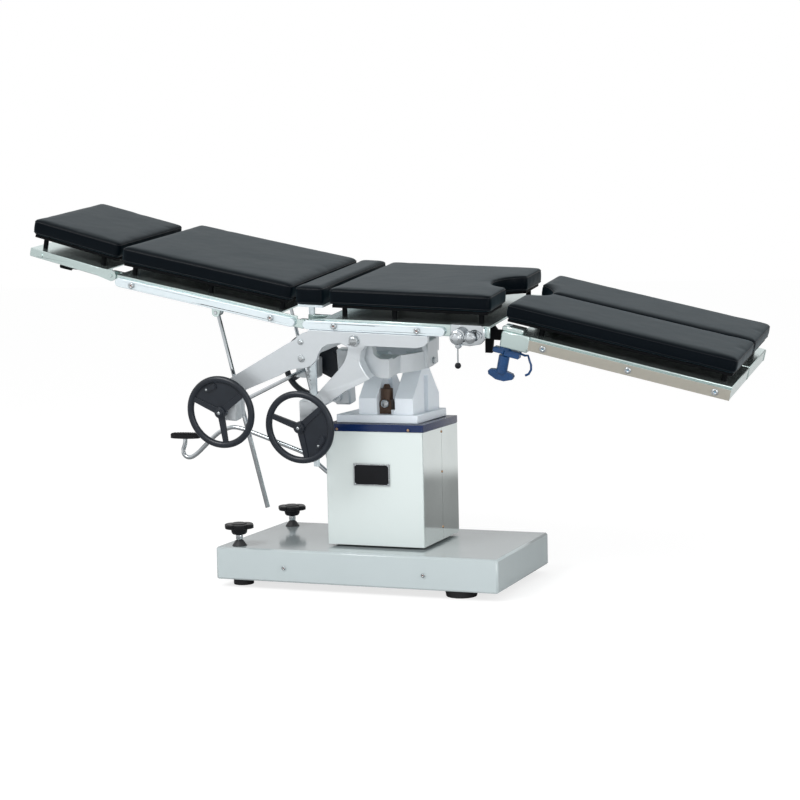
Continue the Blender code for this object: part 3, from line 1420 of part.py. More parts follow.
def build_strut(paint, strut, side):
    """A threaded strut; it hangs down Z from the pin at its top."""
    offset = side * 0.2145
    rod_radius, tube_radius, collar_radius = 0.0055, 0.0065, 0.0090
    eye_radius, eye_half = 0.0100, 0.0070
    joint_height, foot = -0.2200, -0.5430
    tube_piece = rod(
        "back_strut_" + SIDE_NAMES[side], strut, paint["chrome"], (0, offset, 0),
        (0, offset, joint_height),
        rod_radius, sides=SMALL_SIDES,
    )
    lower = rod(
        "strut_lower", strut, None, (0, offset, joint_height + OVERRUN), (0, offset, foot), tube_radius,
        sides=SMALL_SIDES,
    )
    collar = rod(
        "strut_collar", strut, None, (0, offset, joint_height + 0.024),
        (0, offset, joint_height - 0.004),
        collar_radius, sides=SMALL_SIDES,
    )
    eye = rod(
        "strut_eye", strut, None, (0, side * (0.2145 - eye_half), 0),
        (0, side * (0.2145 + eye_half), 0),
        eye_radius,
    )
    pin = rod(
        "strut_pin", strut, None, (0, side * 0.2000, 0), (0, side * 0.2280, 0), STRUT_PIN,
        sides=SMALL_SIDES,
    )
    fuse(tube_piece, lower, collar, eye, pin)


def build_head(paint, head):
    """The head section; its frame lies on its hinge, with X pointing to the back."""
    tray_start, tray_end = -0.2565, -0.0180
    half_width = 0.1950
    tray_bottom, tray_top, wall = -0.0110, 0.0123, 0.0040
    ear_radius = 0.0155
    head_frame = tray(
        "head_frame", head, paint["steel_sheet"], tray_start, tray_end, (-half_width, half_width),
        tray_bottom, tray_top, wall,
    )
    ears = []
    for side in (NEAR, FAR):
        outline = [
            (tray_end - 0.0200, tray_bottom), (-0.004, -ear_radius + 0.0005),
            *arc((0, 0), ear_radius, -80, 80, 8), (-0.004, ear_radius - 0.0005),
            (tray_end - 0.0200, tray_top),
        ]
        ears.append(plate(
            "head_ear", head, None, outline, reach(side, half_width - wall, half_width), "Y",
        ))
        ears.append(rod(
            "head_pin", head, None, (0, side * 0.1690, 0),
            (0, side * (half_width - wall / 2), 0), HEAD_PIN,
        ))
        ears += bolt_heads(head, side, ((0.0, 0.0), (-0.2200, 0.0)), half_width, wall)
    fuse(head_frame, *ears)
    pad_start, pad_end, pad_bottom, pad_top = -0.2670, 0.0110, 0.0480, 0.0898
    standoffs(
        "head_board", head, paint["board"], pad_start, pad_end, 0.030,
        (-HEAD_PAD_HALF_WIDTH, HEAD_PAD_HALF_WIDTH),
        tuple((along, HEAD_PAD_HALF_WIDTH - 0.028) for along in (-0.230, -0.045)),
        tray_top + GAP, pad_bottom - GAP, 0.0080, 0.0070,
    )
    cushion(
        "head_cushion", head, paint["cushion_leather"],
        rounded_pad(pad_start, pad_end, -HEAD_PAD_HALF_WIDTH, HEAD_PAD_HALF_WIDTH, 0.012),
        pad_bottom, pad_top,
    )
    lever_axis = (-0.0600, -0.0200)
    bracket = box(
        "lever_bracket", head, None, (lever_axis[0] - 0.008, -0.1080, lever_axis[1] - 0.007),
        (lever_axis[0] + 0.008, -0.0900, tray_top - wall + 0.001),
    )
    lever_pin = 0.0030
    bracket_hole = bore(
        "lever_hole", head, (lever_axis[0], -0.1200, lever_axis[1]),
        (lever_axis[0], -0.0800, lever_axis[1]),
        lever_pin, SMALL_SIDES,
    )
    fuse(head_frame, bracket)
    cut(head_frame, bracket_hole)
    lever = frame("turn_head_lever", head, (lever_axis[0], 0, lever_axis[1]))
    offset = -0.1130
    arm = tube(
        "head_lever", lever, paint["board"],
        [(0.006, offset, 0.0), (-0.030, offset, -0.004), (-0.070, offset, -0.010), (-0.112, offset, -0.016)],
        0.0040, 1,
    )
    grip = rod(
        "lever_grip", lever, None, (-0.108, offset, -0.0155), (-0.142, offset, -0.0185), 0.0085, 0.0070,
        sides=SMALL_SIDES,
    )
    pin = rod(
        "lever_pin", lever, None, (0, offset - 0.003, 0), (0, -0.0900, 0), lever_pin, sides=SMALL_SIDES,
    )
    fuse(arm, grip, pin)


def build_leg_joint(paint, fold, side):
    """The blue clamp on the fold axis. Its spindle, along Z, carries the leg."""
    name = SIDE_NAMES[side]
    offset = side * LEG_OFFSET
    yoke_radius, yoke_top = 0.0126, 0.0185
    spindle_radius, spindle_top = 0.0080, 0.0290
    disc_radius, disc_bottom, disc_top = 0.0149, -0.0325, -0.0225
    pin_inner = 0.1846
    arm_half = 0.0110
    clamp = rod(
        "leg_clamp_" + name, fold, paint["clamp_blue"], (0, offset, disc_bottom), (0, offset, yoke_top),
        yoke_radius,
    )
    spindle = rod(
        "clamp_spindle", fold, None, (0, offset, yoke_top - OVERRUN), (0, offset, spindle_top),
        spindle_radius,
    )
    disc = rod("clamp_disc", fold, None, (0, offset, disc_bottom), (0, offset, disc_top), disc_radius)
    pin = rod("clamp_pin", fold, None, (0, side * pin_inner, 0), (0, offset, 0), LEG_PIN)
    near_arm = box(
        "clamp_arm", fold, None, (-0.0300, offset - arm_half, -0.0440),
        (0.0, offset + arm_half, -0.0300), 0.002,
    )
    far_arm = box(
        "clamp_arm", fold, None, (0.0, offset - arm_half, -0.0480),
        (0.0400, offset + arm_half, -0.0300), 0.002,
    )
    fuse(clamp, spindle, disc, pin, near_arm, far_arm)
    hook = tube(
        "clamp_hook", fold, None,
        [
            (0.038, offset, -0.034), (0.052, offset, -0.036), (0.060, offset, -0.034),
            (0.066, offset, -0.046),
            (0.072, offset, -0.056), (0.074, offset, -0.068), (0.070, offset, -0.080),
            (0.062, offset, -0.086),
        ],
        0.0030, 0,
    )
    fuse(clamp, hook)
    well = bore(
        "clamp_well", fold, (0, offset, -0.0600), (0, offset, disc_bottom - 0.0005), 0.0070,
    )
    cut(clamp, well)

    handle = frame("turn_leg_handle_" + name, fold, (0, offset, 0))
    tube_radius, tube_top, tube_bottom = 0.0140, -0.0485, -0.0930
    neck = rod(
        "leg_handle_" + name, handle, paint["clamp_blue"], (0, 0, disc_bottom - 0.0009),
        (0, 0, tube_top - OVERRUN),
        0.0070,
    )
    sleeve = rod("handle_sleeve", handle, None, (0, 0, tube_top), (0, 0, tube_bottom), tube_radius)
    half_wing = [
        (0.0110, -0.1130), (0.0320, -0.1040), (0.0345, -0.0960), (0.0300, -0.0900), (0.0100, -0.0860),
    ]
    wing_outline = half_wing + [(-x, z) for x, z in reversed(half_wing)]
    wings = plate("handle_wing", handle, None, wing_outline, (-0.0065, 0.0065), "Y")
    fuse(neck, sleeve, wings)


def build_leg(paint, leg, side):
    """One leg section; its frame stands on the spindle, with X pointing to the foot."""
    name = SIDE_NAMES[side]
    shift = -side * LEG_OFFSET
    outer_face = 0.2401
    inner_face = 0.0020
    rail_thickness = 0.0100
    tray_start, tray_end = 0.0285, 0.5740
    tray_bottom, tray_top, wall = -0.0145, 0.0180, 0.0040
    block_inner = LEG_OFFSET + 0.0131
    eye_bottom, eye_top = 0.0189, 0.0320
    spindle_radius = 0.0080

    def place(offset):
        return side * offset + shift

    def span(inner, outer):
        return tuple(sorted((place(inner), place(outer))))

    sheet_span = span(inner_face, outer_face - rail_thickness - GAP)
    leg_frame = tray(
        "leg_frame_" + name, leg, paint["steel_sheet"], tray_start, tray_end, sheet_span,
        tray_bottom, tray_top, wall,
    )
    cross_ends = []
    for start in (tray_start + 0.036, tray_end - 0.007):
        cross_ends.append(box(
            "leg_cross", leg, None, (start, sheet_span[0] + 0.001, tray_bottom + 0.001),
            (start + 0.006, sheet_span[1] - 0.001, tray_top - 0.001),
        ))
    block_span = span(block_inner, outer_face)
    block = box(
        "leg_block", leg, None, (-0.0100, block_span[0], -0.0220),
        (0.0626, block_span[1], 0.0200), 0.003,
    )
    back_span = span(LEG_OFFSET - 0.0150, outer_face - 0.001)
    back_block = box(
        "leg_back_block", leg, None, (0.0133, back_span[0], -0.0215),
        (0.0620, back_span[1], 0.0195), 0.001, 1,
    )
    eye_span = span(LEG_OFFSET - 0.0150, outer_face - 0.004)
    eye = box(
        "leg_eye", leg, None, (-0.0120, eye_span[0], eye_bottom), (0.0440, eye_span[1], eye_top), 0.003,
    )
    fuse(leg_frame, block, back_block, eye, *cross_ends)
    eye_bore = bore(
        "eye_bore", leg, (0, 0, eye_bottom - OVERRUN), (0, 0, eye_top + OVERRUN), spindle_radius,
    )
    cut(leg_frame, eye_bore)
    rail_start, rail_end, rail_middle, rail_half = 0.0630, 0.5740, -0.0010, 0.0135
    low, high = span(outer_face - rail_thickness - OVERRUN / 2, outer_face)
    rail = box(
        "leg_rail", leg, None, (rail_start - OVERRUN, low, rail_middle - rail_half),
        (rail_end, high, rail_middle + rail_half), 0.0012,
    )
    heads = []
    for along_leg in (0.1010, 0.3200, 0.5370):
        heads.append(rod(
            "leg_bolt", leg, None, (along_leg, place(outer_face - rail_thickness / 2), rail_middle),
            (along_leg, place(outer_face + 0.0022), rail_middle), 0.0075, 0.0055, sides=SMALL_SIDES,
        ))
    fuse(leg_frame, rail, *heads)
    pad_start, pad_end, pad_bottom, pad_top = -0.0160, 0.5770, 0.0490, 0.0870
    pad_span = span(0.0025, PAD_HALF_WIDTH)
    standoffs(
        "leg_board_" + name, leg, paint["board"], pad_start, pad_end, 0.030, pad_span,
        ((0.0780, 0.0720), (0.5450, 0.0720)), tray_top + GAP, pad_bottom - GAP, 0.0080, 0.0073,
        cut_centre=(-0.0500, place(0.0), 0.1000),
    )
    bay_centre, bay_radius = -0.0520, 0.0870
    outline = leg_pad_outline(side, pad_start, pad_end, pad_span, place(0.0), bay_centre, bay_radius)
    cushion("leg_cushion_" + name, leg, paint["cushion_leather"], outline, pad_bottom, pad_top)


def leg_pad_outline(side, start, end, span, inner, bay_centre, bay_radius):
    """A leg pad with a bay at its inner seat-end corner, anticlockwise."""
    low, high = span
    corner = 0.012
    steps = 3
    sides = 7
    reach_in = sqrt(bay_radius ** 2 - (start - bay_centre) ** 2)
    near_turn = atan2(reach_in, start - bay_centre) * 180 / pi
    edge = low if side > 0 else high
    edge_gap = abs(edge - inner)
    far_turn = atan2(edge_gap, sqrt(bay_radius ** 2 - edge_gap ** 2)) * 180 / pi
    if side > 0:
        bay = arc((bay_centre, inner), bay_radius, near_turn, far_turn, 8)
    else:
        bay = arc((bay_centre, inner), bay_radius, -far_turn, -near_turn, 8)
    outline = []
    first = bay[-1][0] if side > 0 else start + corner
    for step in range(1 if side > 0 else 0, sides):
        outline.append((first + (end - corner - first) * step / sides, low))
    outline += arc((end - corner, low + corner), corner, -90, 0, steps)
    outline += arc((end - corner, high - corner), corner, 0, 90, steps)
    last = bay[0][0] if side < 0 else start + corner
    for step in range(1, sides):
        outline.append((end - corner - (end - corner - last) * step / sides, high))
    if side > 0:
        outline += arc((start + corner, high - corner), corner, 90, 180, steps)
        outline += bay
    else:
        outline += bay
        outline += arc((start + corner, low + corner), corner, 180, 255, steps)
    return outline


# Assembly

def settle(root):
    """Move the whole so that its bounds are centred over the origin."""
    bpy.context.view_layer.update()
    graph = bpy.context.evaluated_depsgraph_get()
    corners = []
    for piece in bpy.data.objects:
        if piece.type != "MESH" or piece.hide_render:
            continue
        shown = piece.evaluated_get(graph)
        corners += [shown.matrix_world @ vertex.co for vertex in shown.data.vertices]
    for axis in (0, 1):
        values = [corner[axis] for corner in corners]
        root.location[axis] = -(min(values) + max(values)) / 2


def main():
    clear_scene()
    paint = make_materials()
    root = frame("stand", None)
    build_base(paint, root)
    lift = frame("slide_column", root, (COLUMN_SHIFT, 0, 0))
    build_column(paint, lift)
    roll = frame("turn_roll", lift, (0, 0, ROLL_AXIS_HEIGHT), (radians(ROLL_SET), 0, 0))
    build_saddle(paint, roll)
    table = frame(
        "turn_pitch", roll, (PITCH_AXIS_SHIFT, 0, PITCH_AXIS_RISE), (0, radians(PITCH_SET), 0),
    )
    build_table(paint, table)
    bridge = frame("slide_kidney", table)
    build_kidney_bridge(paint, bridge)
    back = frame("turn_back", table, (-BACK_AXIS_REACH, 0, RAIL_LINE), (0, radians(BACK_SET), 0))
    build_back(paint, back)
    head = frame("turn_head", back, (-HEAD_AXIS_REACH, 0, 0), (0, radians(HEAD_SET), 0))
    build_head(paint, head)
    for side in (NEAR, FAR):
        name = SIDE_NAMES[side]
        fold = frame(
            "turn_fold_" + name, table, (LEG_AXIS_REACH, 0, RAIL_LINE - LEG_AXIS_DROP),
            (0, radians(LEG_SET), 0),
        )
        build_leg_joint(paint, fold, side)
        leg = frame("turn_swing_" + name, fold, (0, side * LEG_OFFSET, 0))
        build_leg(paint, leg, side)
    settle(root)


main()
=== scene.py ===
# %% [markdown]
# An operating table, dressed for a catalogue picture.
# The packed model gives every solid at its real size and place, so this lesson only adds looks.
# It starts by loading that frame.

# %% Load the frame
import json
from math import atan2, cos, degrees, pi, radians, sin, sqrt

import bmesh
import bpy
from mathutils import Matrix, Vector, noise
from mathutils.bvhtree import BVHTree


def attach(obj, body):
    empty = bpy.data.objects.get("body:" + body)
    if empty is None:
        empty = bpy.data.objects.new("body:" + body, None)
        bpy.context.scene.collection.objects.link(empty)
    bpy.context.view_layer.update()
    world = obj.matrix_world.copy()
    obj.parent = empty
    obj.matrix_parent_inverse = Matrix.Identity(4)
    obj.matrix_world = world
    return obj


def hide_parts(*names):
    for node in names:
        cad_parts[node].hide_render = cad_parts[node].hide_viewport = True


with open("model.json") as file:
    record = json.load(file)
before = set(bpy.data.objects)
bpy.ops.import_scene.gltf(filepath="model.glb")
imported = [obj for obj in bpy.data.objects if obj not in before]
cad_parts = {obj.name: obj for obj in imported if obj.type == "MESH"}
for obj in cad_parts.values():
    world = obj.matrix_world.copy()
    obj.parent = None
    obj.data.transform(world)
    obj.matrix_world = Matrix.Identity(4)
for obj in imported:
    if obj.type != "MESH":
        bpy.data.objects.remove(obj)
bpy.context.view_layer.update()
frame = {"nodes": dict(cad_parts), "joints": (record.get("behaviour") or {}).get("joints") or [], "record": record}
nodes = frame["nodes"]
joints = {joint["name"]: joint for joint in frame["joints"]}

# %% [markdown]
# Each section of the top stands at its own angle in the picture: the whole top leans sideways
# and head up, the back and head rise from it, and the leg sections fall away. Pads and small
# fittings are easiest to draw flat, in a section's own axes, and then placed with its matrix.
# The joints of the frame say where each hinge is, so only the angles, in degrees, are written
# here. The base reaches further towards the head than the column does. Pieces that are drawn
# where they stand keep IN_PLACE, a matrix that moves nothing. The left side is the near one.

# %% Places of the sections
LEAN = 7.65
HEAD_UP = 3.06
BACK_RISE = 9.46
HEAD_RISE = 3.10
LEG_FALL = 10.66
BASE_BEHIND_COLUMN = 0.0313
IN_PLACE = Matrix.Identity(4)
SIDES = (("left", -1), ("right", 1))


def hinge_place(joint, rise=None):
    """The matrix of a section: at its hinge, leaned, then raised about its own cross axis."""
    hinge = Matrix.Translation(Vector(joints[joint]["pos_m"]))
    if rise is None:
        return hinge
    return hinge @ Matrix.Rotation(radians(LEAN), 4, "X") @ Matrix.Rotation(radians(rise), 4, "Y")


seat_place = hinge_place("trendelenburg", HEAD_UP)
back_place = hinge_place("back_lift", HEAD_UP + BACK_RISE)
head_place = hinge_place("head_lift", HEAD_UP + BACK_RISE + HEAD_RISE)
leg_places = {
    "left": hinge_place("leg_left_swing", HEAD_UP + LEG_FALL),
    "right": hinge_place("leg_right_swing", HEAD_UP + LEG_FALL),
}
column_place = hinge_place("column_lift")
stand_place = column_place @ Matrix.Translation((-BASE_BEHIND_COLUMN, 0.0, 0.0))
print("seat hinge at", [round(value, 4) for value in seat_place.translation])

# %% [markdown]
# Colours are easiest to choose as they look on a screen, from 0 to 255, but shaders work in
# linear light. One helper turns the first into the second, with the curve that screens use, and
# another makes a paler or darker sister of a colour, because no real surface has only one.


# %% Screen colours to linear light
def tone(red, green, blue):
    """A linear colour, with its alpha, from screen values of 0 to 255."""
    linear = []
    for value in (red, green, blue):
        share = value / 255
        linear.append(share / 12.92 if share <= 0.04045 else ((share + 0.055) / 1.055) ** 2.4)
    return (*linear, 1.0)


def shaded(colour, share):
    """A colour with its light multiplied, and held at white."""
    return (*[min(1.0, value * share) for value in colour[:3]], 1.0)


print("mid grey", [round(value, 3) for value in tone(128, 128, 128)])

# %% [markdown]
# Shader nodes could be placed and linked one by one, but sums of masks then fill pages.
# A small class that wraps a socket lets the maths be written as Python. Each operator adds one
# Math node and returns its output, and the reflected forms make 1 - mask work as well.
# Nodes of all other kinds come from one method. The settings come first, because they can change
# which sockets a node has, and then values or links go to its inputs.


# %% Maths on sockets
class Signal:
    """A number that varies over a surface, as the output socket that carries it."""

    def __init__(self, wiring, socket):
        self.wiring = wiring
        self.socket = socket

    def _with(self, operation, first, second):
        return self.wiring.node("ShaderNodeMath", {"operation": operation}, {0: first, 1: second})

    def __add__(self, other):
        return self._with("ADD", self, other)

    def __radd__(self, other):
        return self._with("ADD", other, self)

    def __sub__(self, other):
        return self._with("SUBTRACT", self, other)

    def __rsub__(self, other):
        return self._with("SUBTRACT", other, self)

    def __mul__(self, other):
        return self._with("MULTIPLY", self, other)

    def __rmul__(self, other):
        return self._with("MULTIPLY", other, self)

    def highest(self, other):
        """The larger of two signals."""
        return self._with("MAXIMUM", self, other)

    def clamped(self, low, high):
        """The signal scaled so that low gives 0 and high gives 1, and held between them."""
        return self.stretched(low, high, 0.0, 1.0)

    def stretched(self, low, high, low_gives, high_gives):
        """The signal scaled from one range to another, and held inside it."""
        return self.wiring.node("ShaderNodeMapRange", {"clamp": True}, {
            "Value": self, "From Min": low, "From Max": high, "To Min": low_gives, "To Max": high_gives,
        })


class Wiring:
    """The nodes of one tree and the links between them."""

    def __init__(self, tree):
        self.tree = tree

    def put(self, socket, value):
        """Set or link one input."""
        if isinstance(value, Signal):
            self.tree.links.new(value.socket, socket)
        else:
            socket.default_value = value

    def node(self, kind, settings=None, inputs=None, output=0):
        """Any other node; returns one of its outputs."""
        made = self.tree.nodes.new(kind)
        for name, value in (settings or {}).items():
            setattr(made, name, value)
        for name, value in (inputs or {}).items():
            self.put(made.inputs[name], value)
        return Signal(self, made.outputs[output])

    def blend(self, mask, low, high):
        """A colour between two, by a mask."""
        return self.node(
            "ShaderNodeMix", {"data_type": "RGBA"}, {0: mask, 6: low, 7: high}, output=2,
        )


print("reflected forms", [name for name in vars(Signal) if name.startswith("__r")])

# %% [markdown]
# A finish is one material. Every finish of the table is a Principled surface. What is the same
# all over is set on its sockets, and only colour, roughness and bump vary. Their noise is placed
# in metres on the piece, so a grain keeps its size on a large piece and on a small one. Noise
# rarely leaves the middle of its range, so a mask is stretched from there.

# %% A finish
MIDDLE = (0.3, 0.7)


class Finish(Wiring):
    """A material with a Principled surface, built from nodes."""

    def __init__(self, name, colour, roughness, metallic=0.0, **fixed):
        self.material = bpy.data.materials.new(name)
        self.material.use_nodes = True
        super().__init__(self.material.node_tree)
        self.surface = self.tree.nodes["Principled BSDF"]
        self.give("Base Color", colour)
        self.give("Roughness", roughness)
        self.give("Metallic", metallic)
        for socket, value in fixed.items():
            self.give(socket.replace("_", " "), value)

    def give(self, socket, value):
        """Set or link one input of the surface."""
        self.put(self.surface.inputs[socket], value)

    def place(self, stretch=(1.0, 1.0, 1.0)):
        """The point on the piece, in metres times the stretch."""
        point = self.node("ShaderNodeTexCoord", output="Object")
        return self.node("ShaderNodeMapping", None, {"Vector": point, "Scale": stretch})

    def grain(self, size, detail=3.0, stretch=(1.0, 1.0, 1.0)):
        """Noise whose features are about so many metres across."""
        return self.node("ShaderNodeTexNoise", None, {
            "Vector": self.place(stretch), "Scale": 1.0 / size, "Detail": detail, "Roughness": 0.55,
        })

    def bump(self, height, depth, strength=1.0):
        """Raise the surface by a height signal times a depth in metres."""
        normal = self.node(
            "ShaderNodeBump", None, {"Height": height, "Distance": depth, "Strength": strength},
        )
        self.give("Normal", normal)


print("a finish makes", [name for name in vars(Finish) if "_" not in name])

# %% [markdown]
# Black leatherette covers the pads. It is a smooth vinyl with a pressed grain: small cells with
# soft valleys. A Voronoi pattern of under two millimetres gives the cells and a finer noise
# breaks them. The tops look silky because the gloss is low and even, so roughness only drifts.


# %% Leatherette
CELLS_PER_METRE = 620.0


def leatherette(name, colour, gloss):
    """Soft black vinyl with a pressed grain."""
    made = Finish(
        name, colour, gloss, Specular_IOR_Level=0.07, Sheen_Weight=0.10, Sheen_Roughness=0.45,
        Sheen_Tint=tone(150, 196, 214),
    )
    cells = made.node(
        "ShaderNodeTexVoronoi", {"feature": "SMOOTH_F1"},
        {"Vector": made.place(), "Scale": CELLS_PER_METRE, "Smoothness": 0.6},
    )
    pores = made.grain(0.0008, 2.0)
    drift = made.grain(0.09, 3.0)
    soft = made.grain(0.35, 2.0)
    made.give("Base Color", made.blend(drift.clamped(*MIDDLE), colour, shaded(colour, 1.2)))
    made.give("Roughness", gloss + 0.07 * drift + 0.03 * soft - 0.04)
    made.bump(cells * 0.7 + pores * 0.4, 0.00012, 0.55)
    return made.material


pad_cover = leatherette("leatherette", tone(2, 6, 11), 0.38)
print(pad_cover.name, len(pad_cover.node_tree.nodes), "nodes")

# %% [markdown]
# The frames and rails are stainless steel, ground along their length. Grinding leaves long fine
# scratches, so noise is stretched many times along X. The sheets mirror more than the rails, the
# leg rails are a warmer grey, and all carry a faint cloudiness where hands and cloths have passed.


# %% Ground steel
LONG_LINES = (0.02, 1.0, 1.0)


def ground_steel(name, colour, gloss, metallic, cloud=0.05):
    """Steel with fine scratches along X and faint clouds of so many metres."""
    made = Finish(name, colour, gloss, metallic)
    lines = made.grain(0.0006, 4.0, LONG_LINES)
    clouds = made.grain(cloud, 3.0)
    worn = (lines * 0.6 + clouds * 0.4).clamped(0.35, 0.62)
    made.give("Base Color", made.blend(worn, shaded(colour, 0.95), colour))
    made.give("Roughness", gloss - 0.04 + 0.08 * lines + 0.04 * clouds)
    made.bump(lines, 0.00002, 0.6)
    return made.material


steel_sheet = ground_steel("stainless_sheet", tone(206, 222, 220), 0.16, 0.92)
rail_steel = ground_steel("ground_rail", tone(220, 231, 236), 0.22, 0.5)
leg_rail_steel = ground_steel("leg_rail_steel", tone(170, 167, 157), 0.30, 0.6, cloud=0.02)
print(steel_sheet.name, rail_steel.name, leg_rail_steel.name)

# %% [markdown]
# The tilting head, its stand and the brackets are aluminium castings, sprayed silver. A sand
# mould leaves a fine pebble, and the spray settles darker in hollows. Metallic stays below one,
# since the lacquer scatters part of the light. Black iron and the brown jack are cast too.


# %% Silver castings
def silver_casting(name, colour, gloss=0.34, metallic=0.55, pebble=0.0016, depth=0.00006):
    """A sand casting under a thin silver lacquer."""
    made = Finish(name, colour, gloss, metallic, Coat_Weight=0.08, Coat_Roughness=0.35)
    sand = made.grain(pebble, 4.0)
    flow = made.grain(0.045, 3.0)
    settled = (flow * 0.5 + sand * 0.5).clamped(0.34, 0.62)
    made.give("Base Color", made.blend(settled, shaded(colour, 0.95), colour))
    made.give("Roughness", gloss - 0.05 + 0.08 * sand + 0.04 * flow)
    made.bump(sand, depth, 0.5)
    return made.material


cast_silver = silver_casting("silver_casting", tone(208, 214, 218))
cast_dark = silver_casting("dark_casting", tone(142, 148, 154), 0.42, 0.5)
# The stand's copy is paler than the other castings: painted light on its cheeks, which sit in the shade of the
# top.
stand_silver_painted_light = silver_casting("stand_casting_painted_light", tone(232, 240, 247), 0.40, 0.15)
black_iron = silver_casting("black_iron", tone(52, 52, 54), 0.6, 0.4, 0.002, 0.0002)
jack_brown = silver_casting("brown_jack", tone(70, 52, 40), 0.4, 0.3)
castings = (cast_silver, cast_dark, stand_silver_painted_light, black_iron, jack_brown)
print("castings", [casting.name for casting in castings])

# %% [markdown]
# The base and the column cover are sheet steel in baked light grey enamel. Baked enamel has a
# slow ripple called orange peel, and a clear gloss over it. The blue parts are the same paint in
# other colours, with a little wear that lightens them.


# %% Baked enamel
def enamel(name, colour, gloss, peel=0.00005, wear=0.12, coat=0.35):
    """Baked paint with a ripple of so many metres deep, and a clear gloss."""
    made = Finish(name, colour, gloss, 0.0, Coat_Weight=coat, Coat_Roughness=0.12)
    ripple = made.grain(0.004, 2.0)
    drift = made.grain(0.12, 3.0)
    specks = made.grain(0.0015, 2.0).clamped(0.66, 0.78)
    made.give("Base Color", made.blend(
        drift.clamped(*MIDDLE), shaded(colour, 1.0 - wear * 0.5), shaded(colour, 1.0 + wear * 0.5),
    ))
    made.give("Roughness", gloss - 0.03 + 0.06 * drift + 0.10 * specks)
    made.bump(ripple, peel, 0.5)
    return made.material


cover_enamel = enamel("light_grey_enamel", tone(200, 209, 208), 0.24, peel=0.00002, wear=0.02)
blue_enamel = enamel("deep_blue_enamel", tone(8, 32, 74), 0.26, coat=0.05)
clamp_enamel = enamel("clamp_blue_enamel", tone(11, 55, 98), 0.28, wear=0.4, coat=0.2)
# The base's copy of the light grey enamel is darker than the cover's: painted shade on the low base.
base_enamel_painted_shade = enamel(
    "base_grey_enamel_painted_shade", tone(176, 186, 188), 0.12, peel=0.00001, wear=0.02, coat=0.6,
)
print("enamels", [paint.name for paint in (cover_enamel, blue_enamel, clamp_enamel, base_enamel_painted_shade)])

# %% [markdown]
# Chrome, zinc, moulded plastic and rubber are plainer. Chrome is nearly a mirror with faint haze,
# zinc shows frosty crystals, the handwheels are glass-filled plastic with a fine spark texture,
# and rubber is matt with dust in its pores. Two builders do for all of them.


# %% Plated metal, plastic and rubber
def plated(name, colour, gloss, haze=0.03):
    """Bare or plated metal, with a haze of so many metres."""
    made = Finish(name, colour, gloss, 1.0)
    cloud = made.grain(haze, 3.0)
    fine = made.grain(0.0012, 2.0)
    made.give("Base Color", made.blend(cloud.clamped(*MIDDLE), shaded(colour, 0.86), colour))
    made.give("Roughness", gloss - 0.03 + 0.08 * cloud + 0.03 * fine)
    made.bump(fine, 0.00002, 0.3)
    return made.material


def moulded(name, colour, gloss, texture=0.0009, depth=0.00008, shine=0.30):
    """Plastic or rubber from a mould with a texture of so many metres."""
    made = Finish(name, colour, gloss, Specular_IOR_Level=shine)
    spark = made.grain(texture, 3.0)
    flow = made.grain(0.05, 3.0)
    made.give("Base Color", made.blend(flow.clamped(*MIDDLE), colour, shaded(colour, 1.35)))
    made.give("Roughness", gloss - 0.05 + 0.10 * spark + 0.04 * flow)
    made.bump(spark, depth, 0.5)
    return made.material


chrome = plated("chrome_plate", tone(204, 210, 214), 0.07)
zinc = plated("zinc_plate", tone(206, 212, 215), 0.24, 0.012)
wheel_plastic = moulded("wheel_plastic", tone(24, 29, 36), 0.32, shine=0.42)
board_black = moulded("black_board", tone(6, 7, 9), 0.52, shine=0.08)
rubber = moulded("black_rubber", tone(20, 20, 22), 0.62, 0.0014, 0.00012, 0.2)
rivet_brown = moulded("rivet_brown", tone(112, 74, 62), 0.5)
recess_blue = moulded("recess_blue", tone(96, 128, 150), 0.4)
plate_black = moulded("plate_black", tone(18, 19, 22), 0.34, shine=0.2)
thread_black = moulded("seam_welt", tone(9, 13, 18), 0.33, 0.0012, shine=0.2)
mirror_sheet = plated("polished_sheet", tone(244, 252, 250), 0.07, 0.2)
brass = plated("brass_rivet", tone(196, 160, 130), 0.3, 0.01)
print("plain finishes", len(bpy.data.materials), "materials so far")

# %% [markdown]
# The solids keep their shapes. They arrive as flat facets, so their points are welded, a fine
# bevel rounds their edges where light should catch, and faces that meet at a shallow angle are
# shaded as one curve. Each solid takes the finish of its slot in the record, and a few
# take one of their own. An angle limit keeps the bevel off the facets of round walls.

# %% Which solid has which finish
SLOT_FINISH = {
    "chrome": chrome, "board": board_black, "cushion_leather": pad_cover,
    "steel_sheet": steel_sheet, "cast_frame": cast_silver, "wheel_plastic": wheel_plastic,
    "rail_steel": rail_steel, "iron": black_iron, "painted_cover": cover_enamel,
    "blue_trim": blue_enamel, "clamp_blue": clamp_enamel, "nameplate": plate_black,
    "zinc": zinc, "black_rubber": rubber, "dark_casting": cast_dark,
}
node_slot = {part["node"]: part["material_slot"] for part in frame["record"]["subparts"]}
# The base's darker enamel below is painted shade.
# The stand's paler casting below is painted light.
OWN_FINISH = {
    "side_plate_left": cast_silver, "side_plate_right": cast_silver,
    "leg_bracket_left": board_black, "leg_bracket_right": board_black,
    "base_cover": base_enamel_painted_shade, "tilt_stand": stand_silver_painted_light, "tilt_jack": jack_brown,
    "pitch_gearbox": cast_silver,
}
print("finishes by slot", len(SLOT_FINISH), "and by name", len(OWN_FINISH))

# %% [markdown]
# Welding comes before the bevel, because a bevel needs faces that share their points. The old
# normals are dropped, since they would keep the facets visible.

# %% Dress the solids
SOLID_EDGE, WELD_WITHIN = 0.0007, 0.00001


def rounded(piece, width, most_flat):
    """Round the edges whose faces meet at more than an angle in degrees."""
    rounding = piece.modifiers.new("edge_rounding", "BEVEL")
    rounding.width = width
    rounding.segments = 2
    rounding.limit_method = "ANGLE"
    rounding.angle_limit = radians(most_flat)
    rounding.harden_normals = True
    return rounding


